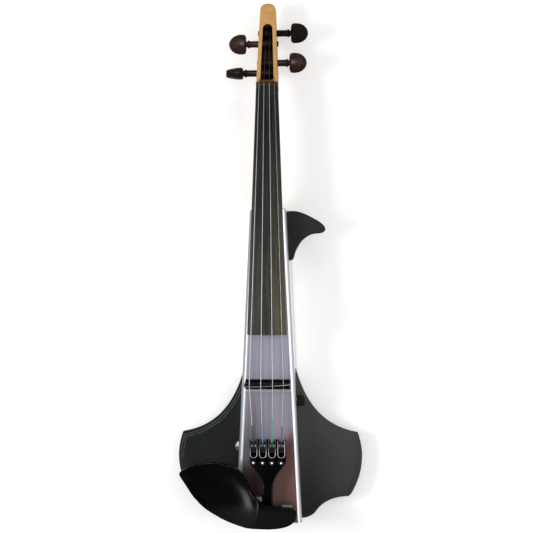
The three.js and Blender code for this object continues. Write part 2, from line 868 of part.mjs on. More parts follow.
function buildCover() {
  let cover = prism(bodyPlan(), 0, cover_sheet, 5);
  const box_half = door_half + fit_gap + battery_box_wall;
  cover = cover.add(
    boxBetween(
      -box_half,
      box_half,
      door_tail_y - fit_gap - battery_box_wall,
      door_head_y + fit_gap + battery_box_wall,
      cover_sheet / 2,
      cover_sheet + battery_box_height,
    ),
  );
  boss_xs.forEach((x) => {
    boss_ys.forEach((y) => {
      cover = cover.add(
        rod(vec(x, y, cover_sheet / 2), vec(x, y, cover_sheet + board_lift), boss_radius, 12),
      );
    });
  });
  cover = cover.subtract(
    boxBetween(
      -door_half - fit_gap,
      door_half + fit_gap,
      door_tail_y - fit_gap,
      door_head_y + fit_gap,
      -cut_over,
      cover_sheet + battery_box_height + cut_over,
    ),
  );
  back_screws.forEach((screw) => {
    cover = cover.subtract(backScrewSolid(screw, fit_gap));
  });
  addPiece("back_cover", cover, cover_black);
  back_screws.forEach((screw) => {
    addPiece(screw.name, backScrewSolid(screw), steel);
  });
}

// Battery door: a flat lid with a finger groove, hinged at its head end on the outer face
function buildDoor() {
  let door = boxBetween(-door_half, door_half, door_tail_y, door_head_y, 0, cover_sheet);
  const groove_half = door_half / 2;
  const groove_y = door_tail_y + 3 * cover_sheet;
  door = door.subtract(
    rod(vec(-groove_half, groove_y, 0), vec(groove_half, groove_y, 0), cover_sheet / 2, 12),
  );
  addPiece("battery_door", door, cover_black);
  const low = cover_sheet + fit_gap;
  const cell = boxBetween(
    -battery_half,
    battery_half,
    battery_tail_y,
    battery_tail_y + battery_length,
    low,
    low + battery_height,
  );
  addPiece("battery", cell, battery_skin);
}

// A block that fills the channel between two stations, chamfered inside its folds
function coreBetween(y0, y1) {
  const low = wall_bottom;
  const high = plate_z - sheet - fit_gap;
  const fold = fold_radius - sheet;
  const rings = [y0, y1].map((y) => {
    const half = insideAt(y);
    const right = [
      [half, low],
      [half, high - fold],
      [half - fold, high],
    ];
    const left = right.map(([x, z]) => [-x, z]).reverse();
    return ringAt([...right, ...left], y);
  });
  return solidOf(loft(rings, onXZ));
}

function buildTailBlock() {
  let block = coreBetween(tail_y, tail_y + tail_block_length);
  tailStuds().forEach((stud) => {
    block = block.subtract(
      rod(
        vec(stud.x, stud.y, plate_z - stud.depth - fit_gap),
        vec(stud.x, stud.y, plate_z),
        stud.radius + fit_gap,
        16,
      ),
    );
  });
  cover_screws.forEach((screw) => {
    block = block.subtract(backScrewSolid(screw, fit_gap));
  });
  sideScrews.forEach((screw) => {
    block = block.subtract(sideScrewRoom(screw));
  });
  addPiece("tail_block", block, maple);
}

// Room for the head of a side screw inside the body
function sideScrewRoom(screw) {
  const x = underHead(screw);
  const at = (along) => vec(screw.side * along, screw.y, screw.z);
  return rod(
    at(x - side_screw_head_length - fit_gap),
    at(x + sheet),
    side_screw_head + fit_gap,
    12,
  );
}

// Neck shaft and heel as one loft, then the tenon and the head
function neckRing(y) {
  const top = boardUnder(y) - fit_gap;
  const heel_y = head_y + heel_length;
  const shaft_depth = THREE.MathUtils.mapLinear(y, heel_y, nut_y, neck_depth_heel, neck_depth_nut);
  const drop = Math.min(Math.max((heel_y - y) / heel_length, 0), 1);
  const curve = 1 - Math.sqrt(1 - drop * drop);
  const under = THREE.MathUtils.lerp(top - shaft_depth, wall_bottom, curve);
  const half = boardHalf(y) - fit_gap;
  const foot = THREE.MathUtils.lerp(0, heel_foot_half / half, curve);
  const arc_steps = 12;
  const ring = [vec(half, y, top)];
  for (let k = 0; k <= arc_steps; k += 1) {
    const turn = (Math.PI * k) / arc_steps;
    const cos = Math.cos(turn);
    const sin = Math.sin(turn);
    const round_x = Math.sign(cos) * Math.pow(Math.abs(cos), 0.8);
    const depth = top - neck_edge - under;
    const narrow = THREE.MathUtils.lerp(1, foot, curve * sin * sin);
    ring.push(vec(half * round_x * narrow, y, top - neck_edge - depth * Math.pow(sin, 0.9)));
  }
  ring.push(vec(-half, y, top));
  return ring;
}

function headPlan() {
  const start = nut_y - head_lap;
  const tip_y = nut_y + head_reach;
  const plan = new THREE.Shape();
  const round = head_tip_half * head_round_share;
  const [along, across] = head_tip_shares;
  plan.moveTo(-headHalf(start), start);
  plan.lineTo(headHalf(start), start);
  plan.lineTo(headHalf(tip_y - round), tip_y - round);
  plan.bezierCurveTo(
    headHalf(tip_y),
    tip_y - round * along,
    headHalf(tip_y) * across,
    tip_y,
    0,
    tip_y,
  );
  plan.bezierCurveTo(
    -headHalf(tip_y) * across,
    tip_y,
    -headHalf(tip_y),
    tip_y - round * along,
    -headHalf(tip_y - round),
    tip_y - round,
  );
  plan.closePath();
  return plan;
}

function slotPlan() {
  const y0 = nut_y + slot_start;
  const y1 = y0 + slot_length;
  const low = slotHalf(y0);
  const high = slotHalf(y1 - slot_head_half);
  const plan = new THREE.Shape();
  plan.moveTo(slot_corner - low, y0);
  plan.lineTo(low - slot_corner, y0);
  plan.quadraticCurveTo(low, y0, slotHalf(y0 + slot_corner), y0 + slot_corner);
  plan.lineTo(high, y1 - slot_head_half);
  plan.absarc(0, y1 - high, high, 0, Math.PI, false);
  plan.lineTo(-slotHalf(y0 + slot_corner), y0 + slot_corner);
  plan.quadraticCurveTo(-low, y0, slot_corner - low, y0);
  return plan;
}

function buildNeck() {
  const ys = [head_y + fit_gap];
  const heel_steps = 8;
  for (let k = 1; k <= heel_steps; k += 1) {
    ys.push(head_y + heel_length * Math.pow(k / heel_steps, 1.3));
  }
  ys.push((head_y + heel_length + nut_y) / 2, nut_y + head_lap / 2);
  let neck = solidOf(loft(ys.map(neckRing), onXZ));
  const root = coreBetween(head_y - tenon_length, head_y + cut_over);
  neck = neck.add(root);

  const side = new THREE.Shape();
  const tip_y = nut_y + head_reach;
  const throat_y = nut_y + throat_reach;
  const neck_top = boardUnder(nut_y) - fit_gap;
  const neck_under = neck_top - neck_depth_nut;
  side.moveTo(nut_y - head_lap, neck_top - head_lap);
  side.lineTo(nut_y - head_lap, neck_under);
  side.bezierCurveTo(
    nut_y + head_lap,
    neck_under,
    throat_y - throat_reach / 2,
    headUnder(throat_y - throat_reach / 2),
    throat_y,
    headUnder(throat_y),
  );
  side.lineTo(tip_y - head_tip_round, headUnder(tip_y - head_tip_round));
  side.quadraticCurveTo(tip_y, headUnder(tip_y), tip_y, headUnder(tip_y) + head_tip_round);
  side.lineTo(tip_y, cheekTop(tip_y) - head_edge);
  side.quadraticCurveTo(tip_y, cheekTop(tip_y), tip_y - 2 * head_edge, cheekTop(tip_y - 2 * head_edge));
  side.lineTo(nut_back_y + fit_gap, cheekTop(nut_back_y + fit_gap));
  side.lineTo(nut_back_y + fit_gap, neck_top);
  side.closePath();
  let head = prism(headPlan(), 0, plate_z * 2, 6);
  head = head.intersect(prismAlongX(side, -head_nut_half * 2, head_nut_half * 2, 6));
  const floor = new THREE.Shape();
  const y0 = nut_y + slot_start - cut_over;
  const y1 = nut_y + slot_start + slot_length + cut_over;
  floor.moveTo(y0, headUnder(y0) + slot_floor);
  floor.lineTo(y1, headUnder(y1) + slot_floor);
  floor.lineTo(y1, plate_z * 2);
  floor.lineTo(y0, plate_z * 2);
  floor.closePath();
  const slot = prism(slotPlan(), 0, plate_z * 2, 6).intersect(
    prismAlongX(floor, -head_nut_half, head_nut_half),
  );
  neck = neck.add(head).subtract(slot);
  strings.forEach((s) => {
    const reach = headHalf(s.peg_y) + cut_over;
    neck = neck.subtract(
      rod(
        vec(-s.side * reach, s.peg_y, s.peg_z),
        vec(s.side * reach, s.peg_y, s.peg_z),
        peg_radius_tip + fit_gap,
        20,
        peg_radius_head + fit_gap,
      ),
    );
  });
  neck_screws.forEach((screw) => {
    neck = neck.subtract(backScrewSolid(screw, fit_gap));
  });
  sideScrews.forEach((screw) => {
    neck = neck.subtract(sideScrewRoom(screw));
  });
  addPiece("neck", neck, maple);
}

// Fingerboard: arched on top, flat underneath, hollowed under its free end
function boardRing(y) {
  const half = boardHalf(y);
  const under = boardUnder(y);
  const arc_steps = 10;
  const ring = [vec(-half, y, under), vec(half, y, under)];
  for (let k = 0; k <= arc_steps; k += 1) {
    const x = half * (1 - (2 * k) / arc_steps);
    ring.push(vec(x, y, boardCrown(y) - sag(x, board_radius)));
  }
  return ring;
}

function buildFingerboard() {
  let board = solidOf(loft([board_end_reach, nut_y - fit_gap].map(boardRing), onXZ));
  const hollow_y = head_y - hollow_stop;
  const low = boardUnder(board_end_reach);
  const half = board_end_half - board_rail;
  const [flank, shoulder, crown] = hollow_shares;
  const hollow = new THREE.Shape();
  hollow.moveTo(-half, low - 3 * hollow_depth);
  hollow.lineTo(half, low - 3 * hollow_depth);
  hollow.lineTo(half * flank, low + hollow_depth * shoulder);
  hollow.quadraticCurveTo(0, low + hollow_depth * crown, -half * flank, low + hollow_depth * shoulder);
  hollow.closePath();
  const scoop = prismAlongY(hollow, board_end_reach - cut_over, hollow_y);
  board = board.subtract(scoop);
  addPiece("fingerboard", board, ebony);
}

function buildNut() {
  const top = boardCrown(nut_y) + nut_rise;
  const bottom = boardUnder(nut_y) + fit_gap;
  const edge = top - sag(nut_half, board_radius);
  const outline = new THREE.Shape();
  outline.moveTo(-nut_half, bottom);
  outline.lineTo(nut_half, bottom);
  outline.lineTo(nut_half, edge);
  outline.quadraticCurveTo(0, 2 * top - edge, -nut_half, edge);
  outline.closePath();
  let nut = prismAlongY(outline, nut_y, nut_y + nut_length);
  strings.forEach((s) => {
    nut = nut.subtract(stringRoom(s));
  });
  addPiece("nut", nut, ebony);
}

function buildBridge() {
  const low = plate_z + fit_gap;
  const face = new THREE.Shape();
  const shoulder = crown_z - sag(bridge_half, bridge_crown_radius);
  face.moveTo(-bridge_half, low);
  face.lineTo(bridge_half, low);
  face.lineTo(bridge_half, shoulder);
  const arc_steps = 14;
  for (let k = 1; k < arc_steps; k += 1) {
    const x = bridge_half * (1 - (2 * k) / arc_steps);
    face.lineTo(x, crown_z - sag(x, bridge_crown_radius));
  }
  face.lineTo(-bridge_half, shoulder);
  face.closePath();
  let bridge = prismAlongY(face, -bridge_base_half, bridge_base_half);
  const side = new THREE.Shape();
  side.moveTo(-bridge_base_half, low);
  side.lineTo(bridge_base_half, low);
  const [base_share, waist_share] = bridge_side_shares;
  side.lineTo(bridge_base_half, low + bridge_base_height * base_share);
  side.quadraticCurveTo(
    bridge_crown_half,
    low + bridge_base_height,
    bridge_crown_half,
    low + bridge_height * waist_share,
  );
  side.lineTo(bridge_crown_half, crown_z + cut_over);
  side.lineTo(-bridge_crown_half, crown_z + cut_over);
  side.lineTo(-bridge_crown_half, low + bridge_height * waist_share);
  side.quadraticCurveTo(
    -bridge_crown_half,
    low + bridge_base_height,
    -bridge_base_half,
    low + bridge_base_height * base_share,
  );
  side.closePath();
  bridge = bridge.intersect(
    prismAlongX(side, -bridge_half - cut_over, bridge_half + cut_over, 5),
  );
  bridge = bridge.subtract(
    boxBetween(
      -pickup_half - fit_gap,
      pickup_half + fit_gap,
      -pickup_width / 2 - fit_gap,
      pickup_width / 2 + fit_gap,
      low - cut_over,
      low + pickup_height + fit_gap,
    ),
  );
  strings.forEach((s) => {
    bridge = bridge.subtract(stringRoom(s));
  });
  addPiece("bridge", bridge, satin_black);
  const strip = boxBetween(
    -pickup_half,
    pickup_half,
    -pickup_width / 2,
    pickup_width / 2,
    low,
    low + pickup_height,
  );
  addPiece("bridge_pickup", strip, brass);
}

function buildStrings() {
  strings.forEach((s) => {
    addPiece(`string_${s.name}`, stringTube(s), string_steel);
    const peg_place = new THREE.Group();
    peg_place.position.set(0, s.peg_y, s.peg_z);
    violin.add(peg_place);
    let peg = pegSolid(s);
    const points = windingPoints(s);
    const end = points[points.length - 2];
    const centre = vec(end.x, s.peg_y, s.peg_z);
    const from = end.clone().sub(centre);
    const inward = from.clone().negate().normalize();
    const hole = (along) =>
      from.clone().addScaledVector(inward, along).setX(end.x);
    peg = peg.subtract(
      rod(hole(-cut_over), hole(3 * s.radius + 3 * fit_gap), s.radius + fit_gap, 10),
    );
    addPiece(`peg_${s.name}`, peg, rosewood, peg_place);
    const winding = tube(points, s.radius, 6);
    addPiece(`string_${s.name}_winding`, winding, string_steel);
    const least = windingGap(points, s.radius);
    console.log(`string_${s.name}_winding least gap to itself ${least.toFixed(2)} mm`);
  });
}

function buildTailpiece() {
  const plan = new THREE.Shape();
  const wide_end = tailpiece_y - tailpiece_shoulder;
  const [wide, bend, pull, root] = tailpiece_curve_shares;
  const stem_start = wide_end - tailpiece_half * wide;
  const nose = tailpiece_stem_half;
  plan.moveTo(-tailpiece_half, tailpiece_y);
  plan.lineTo(-tailpiece_half, wide_end);
  plan.bezierCurveTo(
    -tailpiece_half * wide,
    wide_end - tailpiece_half * bend,
    -tailpiece_stem_half,
    wide_end - tailpiece_half * pull,
    -tailpiece_stem_half * root,
    stem_start,
  );
  plan.lineTo(-nose, tailpiece_end_y + nose / 2);
  plan.quadraticCurveTo(-nose, tailpiece_end_y, -nose / 2, tailpiece_end_y);
  plan.lineTo(nose / 2, tailpiece_end_y);
  plan.quadraticCurveTo(nose, tailpiece_end_y, nose, tailpiece_end_y + nose / 2);
  plan.lineTo(tailpiece_stem_half * root, stem_start);
  plan.bezierCurveTo(
    tailpiece_stem_half,
    wide_end - tailpiece_half * pull,
    tailpiece_half * wide,
    wide_end - tailpiece_half * bend,
    tailpiece_half,
    wide_end,
  );
  plan.lineTo(tailpiece_half, tailpiece_y);
  plan.closePath();
  let tailpiece = prism(plan, tailpiece_bottom, tailpiece_top, 7);
  strings.forEach((s, i) => {
    const x = tunerX(i);
    const round = tuner_slot / 2;
    const slot = new THREE.Shape();
    const slot_end = tailpiece_y - tuner_slot_length + round;
    slot.moveTo(x - round, tailpiece_y + cut_over);
    slot.lineTo(x - round, slot_end);
    slot.absarc(x, slot_end, round, Math.PI, 2 * Math.PI, false);
    slot.lineTo(x + round, tailpiece_y + cut_over);
    slot.closePath();
    tailpiece = tailpiece.subtract(
      prism(slot, tailpiece_bottom - cut_over, tailpiece_top + cut_over, 6),
    );
    tailpiece = tailpiece.subtract(
      rod(
        vec(x, tuner_y, tailpiece_bottom - cut_over),
        vec(x, tuner_y, tailpiece_top + cut_over),
        tuner_screw_radius + fit_gap,
        16,
      ),
    );
  });
  const pin_half = tailpiece_half - fit_gap;
  tailpiece = tailpiece.subtract(
    rod(
      vec(-tailpiece_half - cut_over, pivot_y, pivot_z),
      vec(tailpiece_half + cut_over, pivot_y, pivot_z),
      tuner_pin_radius + fit_gap,
      12,
    ),
  );
  [-1, 1].forEach((side) => {
    tailpiece = tailpiece.subtract(
      rod(
        vec(side * tail_cord_half, tailpiece_end_y - cut_over, cord_z),
        vec(side * tail_cord_half, tailpiece_end_y + cord_in + fit_gap, cord_z),
        tail_cord_radius + fit_gap,
        12,
      ),
    );
  });
  addPiece("tailpiece", tailpiece, gloss_black);
  addPiece(
    "tuner_pin",
    rod(vec(-pin_half, pivot_y, pivot_z), vec(pin_half, pivot_y, pivot_z), tuner_pin_radius, 12),
    steel,
  );
}

const cord_z = tailpiece_bottom + tailpiece_thickness / 2;
const cord_in = 10; // cord inside each bore of the tailpiece

// Cord from one bore of the tailpiece, round the post, to the other bore
function buildTail() {
  const around = tail_post_radius + fit_gap + tail_cord_radius;
  const points = [
    vec(-tail_cord_half, tailpiece_end_y + cord_in, cord_z),
    vec(-tail_cord_half, tailpiece_end_y - 2 * tail_cord_radius, cord_z),
  ];
  const arc_steps = 10;
  for (let k = 0; k <= arc_steps; k += 1) {
    const turn = Math.PI + (Math.PI * k) / arc_steps;
    points.push(vec(around * Math.cos(turn), tail_post_y + around * Math.sin(turn), cord_z));
  }
  points.push(
    vec(tail_cord_half, tailpiece_end_y - 2 * tail_cord_radius, cord_z),
    vec(tail_cord_half, tailpiece_end_y + cord_in, cord_z),
  );
  addPiece("tail_cord", tube(points, tail_cord_radius, 8), nylon);
  const base = plate_z + fit_gap;
  const top = cord_z + tail_cord_radius + fit_gap;
  const at = (z) => vec(0, tail_post_y, z);
  const under_cord = cord_z - tail_cord_radius - fit_gap;
  const post = rod(at(base), at(top + cut_over), tail_post_radius, 16)
    .add(rod(at(top), at(top + tail_post_head), tail_post_head_radius, 16))
    .add(rod(at(base), at(under_cord), tail_post_head_radius, 16))
    .add(rod(at(plate_z - tail_stud_depth), at(base + cut_over), tail_stud_radius, 16));
  addPiece("tail_post", post, steel);
}

function buildTuners() {
  const arm_top = lever_arm_thickness - lever_sole;
  strings.forEach((s, i) => {
    const x = tunerX(i);
    const place = new THREE.Group();
    place.position.set(x, pivot_y, pivot_z);
    violin.add(place);
    const profile = new THREE.Shape();
    profile.moveTo(lever_nose, -lever_sole);
    profile.lineTo(lever_nose, lever_fork_top);
    profile.lineTo(lever_nose - lever_prong, lever_fork_top);
    profile.lineTo(lever_nose - lever_prong, lever_seat);
    profile.lineTo(-lever_back, lever_seat);
    profile.lineTo(-lever_back, arm_top);
    profile.lineTo(-lever_arm, arm_top);
    profile.lineTo(-lever_arm, -lever_sole);
    profile.closePath();
    let lever = prismAlongX(profile, -lever_half, lever_half);
    const fork_half = silk_diameter / 2 + 1.5 * fit_gap;
    lever = lever.subtract(
      boxBetween(
        -fork_half,
        fork_half,
        lever_nose - lever_prong - cut_over,
        lever_nose + cut_over,
        lever_seat,
        lever_fork_top + cut_over,
      ),
    );
    lever = lever.subtract(
      rod(
        vec(-lever_half - cut_over, 0, 0),
        vec(lever_half + cut_over, 0, 0),
        tuner_pin_radius + fit_gap,
        12,
      ),
    );
    addPiece(`tuner_lever_${s.name}`, lever, black_steel, place);
    const ball = rod(
      vec(-ball_half, ball_y - pivot_y, ball_z - pivot_z),
      vec(ball_half, ball_y - pivot_y, ball_z - pivot_z),
      ball_radius,
      14,
    );
    addPiece(`string_${s.name}_ball`, ball, brass, place);
    const screw_place = new THREE.Group();
    screw_place.position.set(x, tuner_y, tailpiece_top + fit_gap);
    violin.add(screw_place);
    const shank_end = pivot_z + arm_top - tailpiece_top;
    const screw = rod(vec(0, 0, shank_end), vec(0, 0, cut_over), tuner_screw_radius, 16)
      .add(rod(vec(0, 0, 0), vec(0, 0, tuner_knob_height), tuner_knob_radius, 18))
      .subtract(
        boxBetween(
          -tuner_knob_radius - cut_over,
          tuner_knob_radius + cut_over,
          -driver_slot_half,
          driver_slot_half,
          tuner_knob_height - driver_slot_depth,
          tuner_knob_height + cut_over,
        ),
      );
    addPiece(`tuner_screw_${s.name}`, screw, black_steel, screw_place);
  });
}

// Chinrest: outline as shares of its width and length, heights by formula
const chin_width = chin_left + chin_right;
const chin_bottom_y = tail_y - chin_past;
const chin_top_y = chin_bottom_y + chin_length;
const chin_outline_shares = [
  [0, 0.148],
  [0.053, 0.083],
  [0.137, 0.027],
  [0.246, 0],
  [0.354, 0.003],
  [0.451, 0.044],
  [0.511, 0.107],
  [0.558, 0.213],
  [0.594, 0.343],
  [0.618, 0.45],
  [0.666, 0.546],
  [0.725, 0.619],
  [0.796, 0.639],
  [0.881, 0.67],
  [0.952, 0.678],
  [0.994, 0.721],
  [1, 0.807],
  [0.976, 0.893],
  [0.916, 0.958],
  [0.821, 0.994],
  [0.701, 1],
  [0.557, 0.979],
  [0.413, 0.905],
  [0.293, 0.8],
  [0.197, 0.684],
  [0.113, 0.525],
  [0.052, 0.354],
  [0.009, 0.223],
];
const cup_middle_shares = [0.33, 0.47];
const cup_turn = THREE.MathUtils.degToRad(-38);
const cup_long_share = 0.38;
const cup_short_share = 0.27;

function cupShare(x, y) {
  const from_x = x - (-chin_left + chin_width * cup_middle_shares[0]);
  const from_y = y - (chin_top_y - chin_length * cup_middle_shares[1]);
  const along = from_x * Math.cos(cup_turn) + from_y * Math.sin(cup_turn);
  const across = from_y * Math.cos(cup_turn) - from_x * Math.sin(cup_turn);
  const reach = Math.hypot(along / (cup_long_share * chin_width), across / (cup_short_share * chin_width));
  return Math.max(0, 1 - reach * reach);
}

const chinTop = (x, y) => {
  const cup = cupShare(x, y);
  return plate_z + chin_rim - chin_dish * (1 - (1 - cup) * (1 - cup));
};
const chinUnder = (x, y) => {
  const cup = cupShare(x, y);
  const arm = plate_z + chin_rim - chin_arm_thickness;
  return arm - (chin_dish + chin_wall - chin_arm_thickness) * Math.sqrt(cup);
};

function buildChinrest() {
  const columns = 22;
  const rows = 14;
  const points = [];
  const x0 = -chin_left - cut_over;
  const x1 = chin_right + cut_over;
  const y0 = chin_bottom_y - cut_over;
  const y1 = chin_top_y + cut_over;
  [chinUnder, chinTop].forEach((height) => {
    for (let r = 0; r <= rows; r += 1) {
      for (let c = 0; c <= columns; c += 1) {
        const x = THREE.MathUtils.lerp(x0, x1, c / columns);
        const y = THREE.MathUtils.lerp(y0, y1, r / rows);
        points.push(x, y, height(x, y));
      }
    }
  });
  const layer = (rows + 1) * (columns + 1);
  const at = (r, c) => r * (columns + 1) + c;
  const faces = [];
  for (let r = 0; r < rows; r += 1) {
    for (let c = 0; c < columns; c += 1) {
      const [a, b, d, e] = [at(r, c), at(r, c + 1), at(r + 1, c + 1), at(r + 1, c)];
      faces.push(a, d, b, a, e, d);
      faces.push(layer + a, layer + b, layer + d, layer + a, layer + d, layer + e);
    }
  }
  const border = [];
  for (let c = 0; c < columns; c += 1) border.push(at(0, c));
  for (let r = 0; r < rows; r += 1) border.push(at(r, columns));
  for (let c = columns; c > 0; c -= 1) border.push(at(rows, c));
  for (let r = rows; r > 0; r -= 1) border.push(at(r, 0));
  border.forEach((a, k) => {
    const b = border[(k + 1) % border.length];
    faces.push(a, b, layer + b, a, layer + b, layer + a);
  });
  const slab = new THREE.BufferGeometry();
  slab.setAttribute("position", new THREE.Float32BufferAttribute(points, 3));
  slab.setIndex(faces);
  const edge = new THREE.SplineCurve(
    [...chin_outline_shares, chin_outline_shares[0]].map(
      ([u, v]) => new THREE.Vector2(-chin_left + chin_width * u, chin_top_y - chin_length * v),
    ),
  );
  const outline = new THREE.Shape(edge.getPoints(56).slice(0, -1));
  const rest = solidOf(slab).intersect(prism(outline, 0, plate_z * 3));
  addPiece("chinrest", rest, gloss_black);

  chin_foot_x.forEach((x, k) => {
    const y = tail_y + chin_foot_inset[k];
    const low = plate_z + fit_gap;
    const ends = [-1, 1].map((end) => end / 2);
    const heights = ends.flatMap((u) =>
      ends.map((v) => chinUnder(x + u * chin_foot_width, y + v * chin_foot_length)),
    );
    const high = Math.min(...heights) - fit_gap;
    const stud = tailStuds()[k];
    let foot = boxBetween(
      x - chin_foot_width / 2,
      x + chin_foot_width / 2,
      y - chin_foot_length / 2,
      y + chin_foot_length / 2,
      low,
      high,
    );
    foot = foot.add(
      rod(
        vec(stud.x, stud.y, plate_z - stud.depth),
        vec(stud.x, stud.y, low + cut_over),
        stud.radius,
        16,
      ),
    );
    addPiece(k === 0 ? "chinrest_foot_left" : "chinrest_foot_right", foot, aluminium);
  });
}

// Wing outline, drawn past the wall on its inner side and trimmed to it
function wingOutline(side) {
  const inner = (body_head_half * 2) / 3;
  const outline = new THREE.Shape();
  const neck_x = halfAt(wing_head_y);
  outline.moveTo(side * inner, wing_head_y + 6 * wing_bevel);
  const [run, dip, sweep, tuck] = wing_curve_shares;
  outline.lineTo(side * (neck_x - sheet), wing_head_y + 2 * wing_bevel);
  outline.lineTo(side * neck_x, wing_head_y);
  outline.quadraticCurveTo(
    side * (neck_x + run * (wing_reach - neck_x)),
    wing_corner_y + dip * (wing_head_y - wing_corner_y),
    side * wing_reach,
    wing_corner_y,
  );
  outline.quadraticCurveTo(
    side * ((wing_reach + wing_foot_x) / 2 + 2 * wing_bulge),
    (wing_corner_y + wing_foot_y) / 2,
    side * wing_foot_x,
    wing_foot_y,
  );
  outline.lineTo(side * (wing_foot_x - wing_foot_corner), wing_foot_y - wing_foot_corner);
  outline.quadraticCurveTo(
    side * (wing_waist_x + sweep * (wing_foot_x - wing_waist_x)),
    wing_foot_y - tuck * wing_foot_corner,
    side * wing_waist_x,
    wing_waist_y,
  );
  outline.quadraticCurveTo(
    side * (wing_waist_x - wing_waist_corner),
    (wing_waist_y + 3 * wing_end_y) / 4,
    side * halfAt(wing_end_y),
    wing_end_y,
  );
  outline.lineTo(side * inner, wing_end_y - wing_bevel);
  outline.closePath();
  return outline;
}

// Space between the planes of the side walls, with a clearance, to trim what stands against them
function bodySpace() {
  const past = 2 * fold_radius;
  const low_half = halfAt(tail_y - past) + fit_gap;
  const high_half = halfAt(head_y + past) + fit_gap;
  const space = new THREE.Shape();
  space.moveTo(-low_half, tail_y - past);
  space.lineTo(low_half, tail_y - past);
  space.lineTo(high_half, head_y + past);
  space.lineTo(-high_half, head_y + past);
  space.closePath();
  return prism(space, -cut_over, body_depth + cut_over);
}

function bevelled(outline, z0, z1, size, drop, curveSegments) {
  const raised = new THREE.ExtrudeGeometry(outline, {
    depth: z1 - z0 - 2 * drop,
    bevelEnabled: true,
    bevelThickness: drop,
    bevelSize: size,
    bevelOffset: -size,
    bevelSegments: 2,
    curveSegments,
  });
  raised.translate(0, 0, z0 + drop);
  return solidOf(raised);
}

function buildWings() {
  [-1, 1].forEach((side) => {
    let wing = bevelled(
      wingOutline(side),
      wing_bottom,
      wing_top,
      wing_bevel,
      wing_bevel_drop,
      8,
    );
    wing = wing.subtract(bodySpace());
    const name = side < 0 ? "left_wing" : "right_wing";
    sideScrews.forEach((screw) => {
      wing = wing.subtract(sideScrewSolid(screw, fit_gap));
    });
    addPiece(name, wing, grained_black);
  });
}

// Fin outline as shares of its reach and length, from the wall at its head end
const fin_outline_shares = [
  [0, 0.012],
  [0.235, 0.009],
  [0.46, 0.06],
  [0.67, 0.14],
  [0.84, 0.216],
  [0.95, 0.288],
  [1, 0.36],
  [0.977, 0.412],
  [0.89, 0.45],
  [0.685, 0.468],
  [0.535, 0.514],
  [0.39, 0.604],
  [0.29, 0.719],
  [0.215, 0.833],
  [0.17, 0.955],
  [0.12, 1],
];

function buildFin() {
  const wall = halfAt(fin_head_y);
  const edge = new THREE.SplineCurve(
    fin_outline_shares.map(
      ([u, v]) => new THREE.Vector2(wall + fin_reach * u, fin_head_y - fin_length * v),
    ),
  );
  const inner = new THREE.Vector2(wall / 2, fin_head_y - fin_length);
  const outline = new THREE.Shape([
    new THREE.Vector2(wall / 2, fin_head_y),
    inner,
    ...edge.getPoints(30).reverse(),
  ]);
  let fin = bevelled(outline, fin_bottom, fin_bottom + fin_thickness, fin_bevel, fin_bevel, 1);
  fin = fin.subtract(bodySpace());
  sideScrews.forEach((screw) => {
    fin = fin.subtract(sideScrewSolid(screw, fit_gap));
  });
  addPiece("fin", fin, grained_black);
  sideScrews.forEach((screw) => {
    addPiece(screw.name, sideScrewSolid(screw), steel);
  });
}

